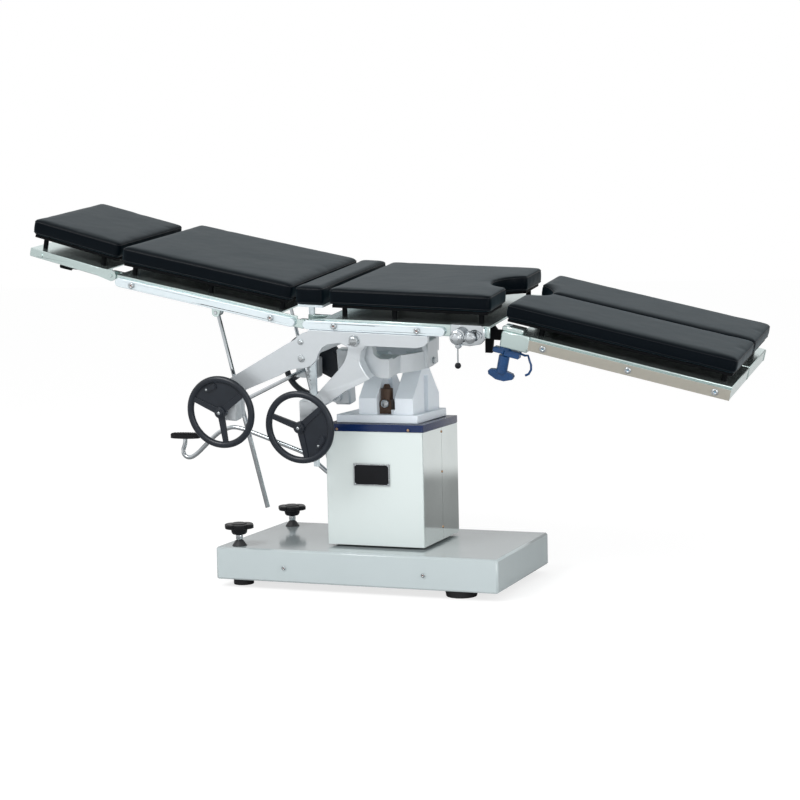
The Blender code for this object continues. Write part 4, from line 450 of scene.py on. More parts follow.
for name, solid in nodes.items():
    finish = OWN_FINISH.get(name, SLOT_FINISH[node_slot[name]])
    solid.data.materials.clear()
    solid.data.materials.append(finish)
    for attribute in ("custom_normal", "sharp_face"):
        if attribute in solid.data.attributes:
            solid.data.attributes.remove(solid.data.attributes[attribute])
    weld = solid.modifiers.new("weld", "WELD")
    weld.merge_threshold = WELD_WITHIN
    rounded(solid, SOLID_EDGE, 40).use_clamp_overlap = True
    for face in solid.data.polygons:
        face.use_smooth = True
print("dressed", len(nodes), "solids")

# %% [markdown]
# A pad starts as a slab a little smaller than the real one, with rounded edges. Rings of points
# follow its outline: in under the edge at the foot, out over the side, and in again to the top.
# Rings are simple and keep the bays of the cut-outs clean, where a Boolean would tear the mesh.


# %% Pad outlines
def corner_arc(centre, radius, start, end, steps=6):
    """Points on an arc, with its angles in degrees."""
    angles = [radians(start + (end - start) * step / steps) for step in range(steps + 1)]
    return [(centre[0] + radius * cos(angle), centre[1] + radius * sin(angle)) for angle in angles]


def pad_outline(start, end, low, high, corner=0.012, bay=()):
    """Anticlockwise points of a pad, with an optional bay in its leg end."""
    return (
        corner_arc((end - corner, low + corner), corner, -90, 0) + list(bay)
        + corner_arc((end - corner, high - corner), corner, 0, 90)
        + corner_arc((start + corner, high - corner), corner, 90, 180)
        + corner_arc((start + corner, low + corner), corner, 180, 270)
    )


def evened(outline, step=0.006):
    """The same outline with points at even steps, closed."""
    spread = []
    count = len(outline)
    for index in range(count):
        here = Vector(outline[index])
        after = Vector(outline[(index + 1) % count])
        pieces = max(1, round((after - here).length / step))
        spread += [here.lerp(after, piece / pieces) for piece in range(pieces)]
    return spread


def moved_in(outline, distance):
    """The outline moved inwards by a distance."""
    count = len(outline)
    moved = []
    for index, point in enumerate(outline):
        before = (point - outline[index - 1]).normalized()
        after = (outline[(index + 1) % count] - point).normalized()
        inward = Vector((-before.y - after.y, before.x + after.x))
        stretch = max(0.5, 0.5 * inward.length)
        moved.append(point + inward.normalized() / stretch * distance)
    return moved


PAD_HALF_WIDTH = 0.2310
SEAT_BAY_CENTRE, SEAT_BAY = 0.392, 0.095
SEAT_START, SEAT_END = -0.0820, 0.3600
bay_reach = sqrt(SEAT_BAY ** 2 - (SEAT_END - SEAT_BAY_CENTRE) ** 2)
bay_turn = atan2(bay_reach, SEAT_END - SEAT_BAY_CENTRE) * 180 / pi
seat_outline = pad_outline(
    SEAT_START, SEAT_END, -PAD_HALF_WIDTH, PAD_HALF_WIDTH,
    bay=corner_arc((SEAT_BAY_CENTRE, 0.0), SEAT_BAY, -bay_turn, bay_turn - 360, 24),
)
print("seat outline", len(seat_outline), "points, bay opens", round(2000 * bay_reach), "mm")

# %% [markdown]
# The two leg pads meet along the middle of the table, and share the other half of the round
# cut-out. Each is drawn about its own swing spindle, 211.5 mm from the middle, so the middle line
# of the table is to its side. The left pad is the mirror image of the right one.

# %% Leg pad outlines
SPINDLE = 0.2115
LEG_BAY_CENTRE, LEG_BAY = -0.0520, 0.0870
LEG_START, LEG_END = -0.0160, 0.5770
LEG_SEAM, LEG_CORNER = 0.0012, 0.010


def leg_outline(side):
    """A leg pad; side is -1 for the left and 1 for the right."""
    reach_out = sqrt(LEG_BAY ** 2 - (LEG_START - LEG_BAY_CENTRE) ** 2)
    start_turn = degrees(atan2(reach_out, LEG_START - LEG_BAY_CENTRE))
    end_turn = degrees(atan2(LEG_SEAM, sqrt(LEG_BAY ** 2 - LEG_SEAM ** 2)))
    foot, outer = LEG_END - LEG_CORNER, PAD_HALF_WIDTH - LEG_CORNER
    right = (
        corner_arc((LEG_BAY_CENTRE, 0.0), LEG_BAY, start_turn, end_turn, 12)
        + corner_arc((foot, LEG_SEAM + LEG_CORNER), LEG_CORNER, -90, 0)
        + corner_arc((foot, outer), LEG_CORNER, 0, 90)
        + corner_arc((LEG_START + LEG_CORNER, outer), LEG_CORNER, 90, 180)
    )
    if side > 0:
        return [(x, y - SPINDLE) for x, y in right]
    return [(x, SPINDLE - y) for x, y in reversed(right)]


print("leg outline", len(leg_outline(1)), "points")

# %% [markdown]
# The rings of a pad are joined into walls, and closed at the foot and the top. The slab is drawn
# a little smaller than the solid that it stands for, because the stuffing swells it again.

# %% The slab of a pad
SHRINK, TUCK, HEM, ROLL_STEPS = 0.0006, 0.006, 0.0012, 6


def slab(name, outline, bottom, top, roll):
    """A closed slab with rounded edges, slightly smaller than the pad."""
    even = evened(outline)
    rings = [
        (SHRINK + TUCK, bottom), (SHRINK + HEM, bottom + 0.0022), (SHRINK, bottom + TUCK),
        (0.0, (bottom + top) / 2),
    ]
    for step in range(ROLL_STEPS + 1):
        turn = radians(90 * step / ROLL_STEPS)
        rings.append((
            SHRINK + roll * (1 - cos(turn)), top - SHRINK * 0.6 - roll * (1 - sin(turn)),
        ))
    made = bmesh.new()
    loops = [
        [made.verts.new((*point, level)) for point in moved_in(even, inset)] for inset, level in rings
    ]
    count = len(even)
    for below, above in zip(loops, loops[1:]):
        for index in range(count):
            after = (index + 1) % count
            made.faces.new((below[index], below[after], above[after], above[index]))
    made.faces.new(reversed(loops[0]))
    made.faces.new(loops[-1])
    made.normal_update()
    mesh = bpy.data.meshes.new(name)
    made.to_mesh(mesh)
    made.free()
    pad = bpy.data.objects.new(name, mesh)
    bpy.context.scene.collection.objects.link(pad)
    return pad


print("a pad is drawn", round(2000 * SHRINK, 1), "mm smaller than its solid")

# %% [markdown]
# Now the stuffing. The slab is remeshed into even small faces, and a short cloth simulation
# blows it up from inside, as foam does under a tight cover. Gravity is off, and no point may move
# further than a few millimetres, because these pads are firm and nearly flat.

# %% Stuff a pad
MOST_SWELL, STUFFING_FRAMES = 0.0030, 20


def applied(piece):
    """Bake the modifiers of a piece into its mesh."""
    shown = bpy.context.evaluated_depsgraph_get()
    mesh = bpy.data.meshes.new_from_object(piece.evaluated_get(shown))
    piece.modifiers.clear()
    old = piece.data
    piece.data = mesh
    bpy.data.meshes.remove(old)


def stuffed(pad):
    """Swell a slab with cloth pressure, and hold each point within a distance of its start."""
    remesh = pad.modifiers.new("even_faces", "REMESH")
    remesh.mode = "VOXEL"
    remesh.voxel_size = 0.0055
    applied(pad)
    start = [vertex.co.copy() for vertex in pad.data.vertices]
    cloth = pad.modifiers.new("stuffing", "CLOTH")
    cloth.settings.use_pressure = True
    cloth.settings.uniform_pressure_force = 4.0
    cloth.settings.effector_weights.gravity = 0.0
    cloth.settings.quality = 4
    cloth.point_cache.frame_start = 1
    cloth.point_cache.frame_end = STUFFING_FRAMES
    for number in range(1, STUFFING_FRAMES + 1):
        bpy.context.scene.frame_set(number)
    applied(pad)
    for vertex, home in zip(pad.data.vertices, start):
        move = vertex.co - home
        if move.length > MOST_SWELL:
            vertex.co = home + move.normalized() * MOST_SWELL
    bpy.context.scene.frame_set(1)
    smooth = pad.modifiers.new("settle", "SMOOTH")
    smooth.iterations = 4
    smooth.factor = 0.5
    finer = pad.modifiers.new("finer", "SUBSURF")
    finer.levels = 1
    finer.render_levels = 1
    applied(pad)
    return pad


print("pads are stuffed")

# %% [markdown]
# Firm pads still show hands' work: the cover puckers a little along its sewn edge and at the
# corners, and the top has slow hollows. These are moved in by noise after the stuffing.

# %% Wrinkles
CREASE = 0.0007


def creased(pad, bottom, top):
    """Slow hollows on the top and puckers along the sides."""
    normals = [vertex.normal.copy() for vertex in pad.data.vertices]
    for vertex, normal in zip(pad.data.vertices, normals):
        point = vertex.co.copy()
        slow = noise.noise(point * 9.0)
        fold = noise.noise(Vector((point.x * 38.0, point.y * 38.0, point.z * 6.0)))
        share = (point.z - bottom) / (top - bottom)
        side = 1.0 - min(1.0, abs(2.0 * share - 1.0))
        point.z += 0.5 * CREASE * slow * (1.0 if share > 0.8 else 0.0)
        vertex.co = point + normal * CREASE * fold * (0.25 + 0.75 * side)


print("creases are at most", 1000 * CREASE, "mm deep")

# %% [markdown]
# A welt is the thin rolled seam of the cover. It is laid on the swollen side by finding the
# nearest point of the pad all round its outline, and a tube is drawn along those points. The
# same tube helper serves for bent rods, whose ends are then closed.

# %% Welts
WELT_RADIUS = 0.0009


def tube_mesh(name, path, radius, sides=6, closed=True):
    """A thin tube along points, each with its own cross frame."""
    made = bmesh.new()
    count = len(path)
    loops = []
    for index, point in enumerate(path):
        ahead = path[(index + 1) % count] if closed or index < count - 1 else point
        behind = path[index - 1] if closed or index > 0 else point
        along = (ahead - behind).normalized()
        side = along.cross(Vector((0, 0, 1)))
        side = side.normalized() if side.length > 1e-6 else Vector((1, 0, 0))
        up = side.cross(along)
        turns = [2 * pi * lap / sides for lap in range(sides)]
        loops.append([
            made.verts.new(point + (side * cos(turn) + up * sin(turn)) * radius) for turn in turns
        ])
    pairs = list(zip(loops, loops[1:]))
    if closed:
        pairs.append((loops[-1], loops[0]))
    for first, second in pairs:
        for lap in range(sides):
            after = (lap + 1) % sides
            made.faces.new((first[lap], first[after], second[after], second[lap]))
    if not closed:
        made.faces.new(reversed(loops[0]))
        made.faces.new(loops[-1])
    bmesh.ops.recalc_face_normals(made, faces=made.faces)
    mesh = bpy.data.meshes.new(name)
    made.to_mesh(mesh)
    made.free()
    for face in mesh.polygons:
        face.use_smooth = True
    piece = bpy.data.objects.new(name, mesh)
    bpy.context.scene.collection.objects.link(piece)
    return piece


def welt(name, pad, outline, level):
    """The rolled seam round a pad, laid on its swollen side."""
    tree = BVHTree.FromObject(pad, bpy.context.evaluated_depsgraph_get())
    path = []
    for point in evened(outline, 0.005):
        found = tree.find_nearest(Vector((*point, level)))
        path.append(found[0] + found[1] * WELT_RADIUS * 0.25)
    return tube_mesh(name, path, WELT_RADIUS)


print("welts are", round(2000 * WELT_RADIUS, 1), "mm thick")

# %% [markdown]
# Every visible piece is placed once, painted, and told which body of the model it rides, so that
# it moves with the joints. A pad also stands for the plain solid of its cushion, and its two
# welts ride with it. The tops keep a tighter roll at the leg pads, which are thinner.

# %% Place a pad
def finish_piece(piece, place, body, material):
    """Place a piece, paint it and let it ride on its body."""
    piece.data.transform(place)
    piece.data.materials.clear()
    piece.data.materials.append(material)
    for face in piece.data.polygons:
        face.use_smooth = True
    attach(piece, body)


def make_pad(name, node, body, place, outline, bottom, top, roll=0.0045):
    """One stuffed pad with its two welts, in place of its plain solid."""
    pad = stuffed(slab(name, outline, bottom, top, roll))
    creased(pad, bottom, top)
    seam_line = moved_in(evened(outline), 0.0012)
    upper = welt(name + "_upper_welt", pad, seam_line, top - 0.0052)
    lower = welt(name + "_lower_welt", pad, seam_line, bottom + 0.0050)
    finish_piece(pad, place, body, pad_cover)
    for seam in (upper, lower):
        finish_piece(seam, place, body, thread_black)
    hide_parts(node)
    print(name, len(pad.data.polygons), "faces")


print("a pad comes with two welts")

# %% [markdown]
# Six pads: head, back, the narrow one on the kidney bridge, seat and two legs. Their sizes are
# those of the solids they replace, because the frame beneath them fits these.

# %% The six pads
HEAD_HALF_WIDTH, KIDNEY_CORNER = 0.1880, 0.010
make_pad(
    "head_pad", "head_cushion", "head_section", head_place,
    pad_outline(-0.2670, 0.0110, -HEAD_HALF_WIDTH, HEAD_HALF_WIDTH), bottom=0.0480, top=0.0898,
)
make_pad(
    "back_pad", "back_cushion", "back_section", back_place,
    pad_outline(-0.5450, -0.0370, -PAD_HALF_WIDTH, PAD_HALF_WIDTH), bottom=0.0510, top=0.0938,
)
make_pad(
    "kidney_pad", "kidney_cushion", "kidney_bridge", seat_place,
    pad_outline(-0.1732, -0.0952, -PAD_HALF_WIDTH, PAD_HALF_WIDTH, KIDNEY_CORNER),
    bottom=0.0825, top=0.1300,
)
make_pad(
    "seat_pad", "seat_cushion", "table_frame", seat_place, seat_outline, bottom=0.0860, top=0.1278,
)
for side_name, side in SIDES:
    make_pad(
        "leg_pad_" + side_name, "leg_cushion_" + side_name, "leg_section_" + side_name,
        leg_places[side_name], leg_outline(side), bottom=0.0490, top=0.0870, roll=0.0032,
    )
print("all six pads are placed")

# %% [markdown]
# Turned parts, such as hubs, screws and grips, are profiles spun about an axis. One helper spins
# a list of radius and height pairs, and another raises a flat outline to a plate, all into one
# mesh builder, so that a whole handwheel becomes one piece.


# %% Shapes for the small parts
class Shape:
    """A mesh that is added to bit by bit, in the axes of its own piece."""

    def __init__(self):
        self.mesh = bmesh.new()

    def spun(self, profile, place=IN_PLACE, sides=32):
        """A profile of (radius, height) pairs, spun about the local Z; closed where radius is 0."""
        loops = []
        for radius, height in profile:
            if radius < 1e-6:
                loops.append([self.mesh.verts.new(place @ Vector((0, 0, height)))])
                continue
            turns = [2 * pi * lap / sides for lap in range(sides)]
            loops.append([
                self.mesh.verts.new(place @ Vector((radius * cos(turn), radius * sin(turn), height)))
                for turn in turns
            ])
        for low, high in zip(loops, loops[1:]):
            for lap in range(sides):
                after = (lap + 1) % sides
                corners = [
                    low[lap % len(low)], low[after % len(low)],
                    high[after % len(high)], high[lap % len(high)],
                ]
                kept = [corner for index, corner in enumerate(corners) if corner not in corners[:index]]
                if len(kept) > 2:
                    self.mesh.faces.new(kept)

    def slab(self, outline, low, high, place=IN_PLACE):
        """A flat outline between two heights."""
        bottom = [self.mesh.verts.new(place @ Vector((*point, low))) for point in outline]
        top = [self.mesh.verts.new(place @ Vector((*point, high))) for point in outline]
        for index in range(len(outline)):
            after = (index + 1) % len(outline)
            self.mesh.faces.new((bottom[index], bottom[after], top[after], top[index]))
        self.mesh.faces.new(reversed(bottom))
        self.mesh.faces.new(top)

    def piece(self, name, place, body, material, slot, edge=0.0006, stands_for=()):
        """Close the mesh, round its edges and hand it to its body."""
        bmesh.ops.recalc_face_normals(self.mesh, faces=self.mesh.faces)
        mesh = bpy.data.meshes.new(name)
        self.mesh.to_mesh(mesh)
        self.mesh.free()
        made = bpy.data.objects.new(name, mesh)
        bpy.context.scene.collection.objects.link(made)
        if edge:
            rounded(made, edge, 35)
        finish_piece(made, place, body, material)
        if stands_for:
            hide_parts(*stands_for)


def box_outline(left, right, low, high):
    """The four corners of an upright rectangle."""
    return [(left, low), (right, low), (right, high), (left, high)]


print("shapes are", [name for name in vars(Shape) if "_" not in name])

# %% [markdown]
# The three handwheels are moulded in dark plastic: a round rim, a stepped hub, three spokes with
# two open windows, and one closed panel that carries the folding grip. The panel's border
# stands proud of its field, and a metal pin and a hub screw show as pale dots.

# %% Handwheel measures
RIM, RIM_TUBE = 0.0886, 0.0089
WHEEL_HUB = [
    (0.0, -0.0138), (0.0135, -0.0138), (0.0148, -0.0120), (0.0158, 0.0040), (0.0150, 0.0090),
    (0.0110, 0.0104), (0.0100, 0.0128), (0.0068, 0.0138), (0.0, 0.0138),
]
SPOKE = [(0.006, -0.0088), (0.086, -0.0066), (0.086, 0.0066), (0.006, 0.0088)]
PANEL_IN, PANEL_OUT, PANEL_BORDER = 0.010, 0.0870, 0.0075
GRIP_FROM_HUB, GRIP_HALF, GRIP_ROUND = 0.0690, 0.013, 0.0085
PIN = [(0.0, 0.0060), (0.0034, 0.0060), (0.0034, 0.0074), (0.0022, 0.0082), (0.0, 0.0084)]
HUB_SCREW = [(0.0, 0.0130), (0.0046, 0.0130), (0.0046, 0.0146), (0.0032, 0.0158), (0.0, 0.0160)]
print("a wheel of", round(2000 * (RIM + RIM_TUBE)), "mm")

# %% [markdown]
# A wheel is drawn in its own axes, with Z away from the table. Rim and hub are spun, the spokes,
# the panel and the grip's pocket are raised outlines, and all overlap into one piece. The spokes
# stand at another angle on each wheel, as hands leave them.


# %% Handwheels
def ring_profile(radius, tube, laps=14):
    """The closed section of a round rim."""
    turns = [2 * pi * lap / laps for lap in range(laps + 1)]
    return [(radius + tube * cos(turn), tube * sin(turn)) for turn in turns]


def wheel_panel(turn):
    """The field of the closed panel, and the border that stands proud of it."""
    field = (
        corner_arc((0, 0), PANEL_OUT, turn, turn + 120, 18)
        + corner_arc((0, 0), PANEL_IN, turn + 120, turn, 4)
    )
    border = (
        corner_arc((0, 0), PANEL_OUT, turn + 2, turn + 118, 18)
        + corner_arc((0, 0), PANEL_OUT - PANEL_BORDER, turn + 118, turn + 2, 18)
    )
    return field, border


def handwheel(name, node, body, place, turn, shaft=0.0, grip=76, pin_side=1):
    """A wheel whose own Z points away from the table, with an optional shaft behind it."""
    wheel = Shape()
    if shaft:
        wheel.spun([
            (0.0, -shaft), (0.0052, -shaft), (0.0060, -shaft + 0.0008), (0.0060, 0.0), (0.0, 0.0),
        ])
    wheel.spun(ring_profile(RIM, RIM_TUBE), sides=72)
    wheel.spun(WHEEL_HUB)
    for spoke in (turn, turn + 120, turn + 240):
        wheel.slab(SPOKE, -0.0036, 0.0046, Matrix.Rotation(radians(spoke), 4, "Z"))
    field, border = wheel_panel(turn)
    wheel.slab(field, -0.0030, 0.0018)
    wheel.slab(border, 0.0010, 0.0034)
    grip_turn = Matrix.Rotation(radians(turn + grip), 4, "Z")
    grip_spot = grip_turn @ Matrix.Translation((GRIP_FROM_HUB, 0.0, 0.0))
    pocket = (
        corner_arc((0.0, GRIP_HALF), GRIP_ROUND, 0, 180, 8)
        + corner_arc((0.0, -GRIP_HALF), GRIP_ROUND, 180, 360, 8)
    )
    wheel.slab(pocket, 0.0, 0.0042, grip_spot)
    wheel.slab([(x * 0.72, y * 0.86) for x, y in pocket], 0.0, 0.0062, grip_spot)
    wheel.piece(name, place, body, wheel_plastic, "wheel_plastic", stands_for=[node])
    pins = Shape()
    pins.spun(PIN, grip_spot @ Matrix.Translation((0.0, pin_side * 0.0100, 0.0)), 16)
    pins.spun(HUB_SCREW, sides=18)
    pins.piece(name + "_pins", place, body, zinc, "zinc", 0.0)


def wheel_place(joint, out, side):
    """A wheel's own axes: Z along the table's cross axis, away from it."""
    flat = seat_place.to_3x3().to_4x4()
    hinge = Matrix.Translation(Vector(joints[joint]["pos_m"])) @ flat
    facing_out = Matrix.Rotation(radians(-90 * side), 4, "X")
    return hinge @ Matrix.Translation((0.0, side * out, 0.0)) @ facing_out


handwheel(
    "back_wheel_left", "back_handwheel_left", "back_wheels",
    wheel_place("back_handwheel_turn", 0.302, -1), 38,
)
handwheel(
    "back_wheel_right", "back_handwheel_right", "back_wheels",
    wheel_place("back_handwheel_turn", 0.302, 1), -95,
)
handwheel(
    "pitch_wheel_left", "pitch_handwheel", "pitch_wheel",
    wheel_place("pitch_handwheel_turn", 0.272, -1), -78, shaft=0.0733, grip=46, pin_side=-1,
)
near_wheel = wheel_place("back_handwheel_turn", 0.302, -1).translation
print("near back wheel at", [round(value, 3) for value in near_wheel])

# %% [markdown]
# Two star knobs lock the stand to the floor. A star knob is a moulded disc with six soft lobes on
# a short hub. Its stud shows bright under the hub, inside a plain sleeve.

# %% Star knobs
STAR_RADIUS, STAR_LOBE, STAR_LOBES = 0.0376, 0.0036, 6
STAR_HUB = [
    (0.0090, 0.1400), (0.0170, 0.1400), (0.0205, 0.1440), (0.0235, 0.1565), (0.0235, 0.1580),
    (0.0090, 0.1580),
]
STAR_CAP = [
    (0.0, 0.1660), (0.0200, 0.1660), (0.0215, 0.1690), (0.0190, 0.1705), (0.0150, 0.1696),
    (0.0, 0.1690),
]
STUD_SLEEVE = [(0.0088, 0.1260), (0.0094, 0.1268), (0.0094, 0.1388), (0.0088, 0.1396)]


def star_outline(points=96):
    """A round outline with soft lobes."""
    outline = []
    for step in range(points):
        turn = 2 * pi * step / points
        reach = STAR_RADIUS + STAR_LOBE * (abs(cos(STAR_LOBES * turn / 2)) ** 0.7 * 2 - 1)
        outline.append((reach * cos(turn), reach * sin(turn)))
    return outline


for side_name in ("left", "right"):
    knob_spot = Matrix.Translation(Vector(joints["knob_" + side_name + "_turn"]["pos_m"]))
    star = Shape()
    star.slab(star_outline(), 0.1570, 0.1670, knob_spot)
    star.slab([(x * 0.93, y * 0.93) for x, y in star_outline()], 0.1560, 0.1684, knob_spot)
    star.spun(STAR_HUB, knob_spot)
    star.spun(STAR_CAP, knob_spot)
    star.piece(
        "star_" + side_name, IN_PLACE, "levelling_knob_" + side_name, plate_black,
        "wheel_plastic", 0.0016, ["knob_" + side_name],
    )
    stud = Shape()
    stud.spun(STUD_SLEEVE, knob_spot, 24)
    stud.piece("stud_sleeve_" + side_name, IN_PLACE, "stand", chrome, "zinc", 0.0)
print("two star knobs of", round(2000 * (STAR_RADIUS + STAR_LOBE)), "mm")

# %% [markdown]
# Screws and rivets tell how the table is put together. Each rail is held by countersunk screws in
# dished washers, with a darker recess that shows red-brown, or blue on the leg rails. A set of
# screws makes two pieces, the washers and the recesses, because they differ in finish.


# %% Rail screws
def outward(place, along, out, up, side=-1):
    """A spot on a near or far face, with its own Z pointing out of the face."""
    turn = Matrix.Rotation(radians(90 if side < 0 else -90), 4, "X")
    return place @ Matrix.Translation((along, side * out, up)) @ turn


def screw_set(name, spots, body, radius, recess):
    """Dished washers with a recess of another colour, in two pieces for the whole set."""
    rings, centres = Shape(), Shape()
    for spot in spots:
        rings.spun([
            (radius * 0.26, 0.0006), (radius * 0.34, 0.0014), (radius * 0.66, 0.0019),
            (radius * 0.86, 0.0014), (radius * 0.88, 0.0004), (radius * 0.95, 0.0004),
            (radius, 0.0009), (radius, -0.0006),
        ], spot, 28)
        centres.spun([
            (0.0, 0.0008), (radius * 0.20, 0.0010), (radius * 0.33, 0.0007), (radius * 0.33, -0.0004),
        ], spot, 20)
    rings.piece(name + "_washers", IN_PLACE, body, zinc, "chrome", 0.0)
    centres.piece(name + "_recesses", IN_PLACE, body, recess, "chrome", 0.0)


RAIL_FACE = 0.2480 + 0.0022
RAIL_SCREW, LEG_RAIL_SCREW, BASE_SCREW = 0.0078, 0.0082, 0.0052
screw_set("seat_rail", [
    outward(seat_place, along, RAIL_FACE, 0.0340, side) for along in (-0.057, 0.171) for side in (-1, 1)
], "table_frame", RAIL_SCREW, rivet_brown)
screw_set("back_rail", [
    outward(back_place, along, RAIL_FACE, 0.0, side) for along in (-0.4920, -0.0795) for side in (-1, 1)
], "back_section", RAIL_SCREW, rivet_brown)
print("rail screws", round(2000 * RAIL_SCREW, 1), "mm wide")

# %% [markdown]
# The leg rails have a ground face of their own, a warmer grey than the other rails. It is a
# strip a little proud of the solid, so that the solid's finish stays on its edges.

# %% Leg rails
LEG_RAIL_OUT, LEG_FACE_PROUD = 0.0286, 0.0005
LEG_FACE = box_outline(0.0634, 0.5738, -0.0143, 0.0123)
for side_name, side in SIDES:
    leg_body = "leg_section_" + side_name
    screw_set("leg_rail_" + side_name, [
        outward(leg_places[side_name], along, 0.0308, -0.0010, side) for along in (0.101, 0.320, 0.537)
    ], leg_body, LEG_RAIL_SCREW, recess_blue)
    strip = Shape()
    low, high = (0.0, LEG_FACE_PROUD) if side < 0 else (-LEG_FACE_PROUD, 0.0)
    upright = leg_places[side_name] @ Matrix.Translation((0.0, side * LEG_RAIL_OUT, 0.0))
    strip.slab(LEG_FACE, low, high, upright @ Matrix.Rotation(radians(90), 4, "X"))
    strip.piece(
        "leg_rail_face_" + side_name, IN_PLACE, leg_body, leg_rail_steel, "rail_steel", 0.0002,
    )
print("leg rails have three screws each")

# %% [markdown]
# Each side plate carries two round-headed bolts and, where the top pivots, a big hexagon on a
# washer with a turned face. The hexagon is a flat outline between two heights, a little turned,
# as a real nut never stops square.

# %% Side plate bolts
PLATE_FACE, HEXAGON = 0.2500, 0.0128
PLATE_BOLTS = ((-0.151, -0.011, 0.0085), (-0.150, -0.055, 0.0100))
PIVOT_WASHER = [(0.0, 0.0014), (0.0150, 0.0014), (0.0156, 0.0008), (0.0156, -0.0002)]
PIVOT_FACE = [(0.0, 0.0112), (0.0085, 0.0112), (0.0108, 0.0096), (0.0108, 0.0090)]


def oval_outline(wide, high, points, start=0):
    """Even points on an oval; start is in degrees."""
    turns = [radians(start + 360 * step / points) for step in range(points)]
    return [(wide * cos(turn), high * sin(turn)) for turn in turns]


bolts = Shape()
for side in (-1, 1):
    for along, up, radius in PLATE_BOLTS:
        bolts.spun([
            (0.0, 0.0052), (radius * 0.55, 0.0050), (radius * 0.70, 0.0036), (radius * 0.72, 0.0016),
            (radius, 0.0014), (radius, -0.0004),
        ], outward(seat_place, along, PLATE_FACE, up, side), 28)
    pivot_spot = outward(seat_place, 0.0, PLATE_FACE, 0.0, side)
    bolts.spun(PIVOT_WASHER, pivot_spot, 40)
    bolts.slab(oval_outline(HEXAGON, HEXAGON, 6, start=12), 0.0010, 0.0098, pivot_spot)
    bolts.spun(PIVOT_FACE, pivot_spot, 32)
bolts.piece("plate_bolts", IN_PLACE, "table_frame", zinc, "zinc", 0.0004)
print("bolts stand", 1000 * PLATE_FACE, "mm from the middle")

# %% [markdown]
# Small brass rivets hold the blue band at the front and back of the column, and the seam at its
# leg end. The tilt jack shows the face of its pin between the cheeks, and the base cover has two
# screws on each long side.

# %% Rivets of the column and screws of the base
BAND_FACE, END_FACE, BASE_FACE = 0.1375, 0.1398, 0.2245 + 0.0010
BAND_RIVET = [(0.0, 0.0022), (0.0022, 0.0020), (0.0036, 0.0010), (0.0038, -0.0004)]
SEAM_RIVET = [(0.0, 0.0024), (0.0022, 0.0022), (0.0032, 0.0012), (0.0034, -0.0004)]
JACK_PIN = [(0.0, 0.0016), (0.0085, 0.0014), (0.0108, 0.0002), (0.0112, -0.0050)]
small_rivets = Shape()
for side in (-1, 1):
    for along in (-0.1033, 0.0997):
        small_rivets.spun(BAND_RIVET, outward(column_place, along, BAND_FACE, 0.4255, side), 20)
for up in (0.150, 0.300, 0.408):
    seam_spot = column_place @ Matrix.Translation((END_FACE, 0.006, up))
    small_rivets.spun(SEAM_RIVET, seam_spot @ Matrix.Rotation(radians(90), 4, "Y"), 20)
jack_pin = Shape()
jack_pin.spun(JACK_PIN, outward(column_place, 0.0158, 0.0890, 0.4900), 28)
jack_pin.piece("jack_pin_face", IN_PLACE, "column", zinc, "zinc", 0.0)
small_rivets.piece("column_rivets", IN_PLACE, "column", brass, "zinc", 0.0)
screw_set("base_screws", [
    outward(stand_place, along, BASE_FACE, 0.060, side) for along in (-0.198, 0.198) for side in (-1, 1)
], "stand", BASE_SCREW, rivet_brown)
print("rivets on band and seam, screws on the base")

# %% [markdown]
# The leg end of the column is closed by two polished sheets that meet at a seam. On the real
# table the seam is a thin dark line between mirror-like halves, so a gap of 1.6 mm is left
# between two thin slabs.

# %% Polished end of the column
END_LOW, END_HIGH = 0.1170, 0.4190
sheets = Shape()
end_spot = column_place @ Matrix.Translation((END_FACE, 0.0, 0.0))
for near, far in ((-0.1325, 0.0052), (0.0068, 0.1325)):
    sheets.slab(
        box_outline(END_LOW, END_HIGH, near, far), 0.0, 0.0006,
        end_spot @ Matrix.Rotation(radians(-90), 4, "Y"),
    )
sheets.piece("polished_end_leg", IN_PLACE, "column", mirror_sheet, "painted_cover", 0.0002)
print("polished sheets", round(1000 * (END_HIGH - END_LOW)), "mm high")

# %% [markdown]
# The black nameplate sits in a thin silver frame with a pin at each corner. Four strips make the
# frame, because a strip is a plain outline and the plate behind stays untouched.

# %% Nameplate frame
TAG_LEFT, TAG_RIGHT, TAG_LOW, TAG_HIGH = -0.0583, 0.0447, 0.2760, 0.3340
TAG_FACE, TAG_RIM, TAG_PIN_IN = 0.1366, 0.0030, 0.0045
TAG_PIN = [(0.0, 0.0016), (0.0016, 0.0014), (0.0024, 0.0006), (0.0024, 0.0)]
plate_frame = Shape()
for strip_outline in (
    box_outline(TAG_LEFT, TAG_RIGHT, TAG_LOW, TAG_LOW + TAG_RIM),
    box_outline(TAG_LEFT, TAG_RIGHT, TAG_HIGH - TAG_RIM, TAG_HIGH),
    box_outline(TAG_LEFT, TAG_LEFT + TAG_RIM, TAG_LOW + TAG_RIM, TAG_HIGH - TAG_RIM),
    box_outline(TAG_RIGHT - TAG_RIM, TAG_RIGHT, TAG_LOW + TAG_RIM, TAG_HIGH - TAG_RIM),
):
    plate_frame.slab(strip_outline, 0.0, 0.0010, outward(column_place, 0.0, TAG_FACE, 0.0))
for along in (TAG_LEFT + TAG_PIN_IN, TAG_RIGHT - TAG_PIN_IN):
    for up in (TAG_LOW + TAG_PIN_IN, TAG_HIGH - TAG_PIN_IN):
        plate_frame.spun(TAG_PIN, outward(column_place, along, TAG_FACE, up), 16)
plate_frame.piece("nameplate_frame", IN_PLACE, "column", zinc, "nameplate", 0.0003)
print("nameplate frame", round(1000 * (TAG_RIGHT - TAG_LEFT)), "mm wide")

# %% [markdown]
# The pump pedal is a bent chrome tube. Its bends are corners measured along the middle of the
# tube, and cutting each corner three times turns them into soft curves before the tube is swept.


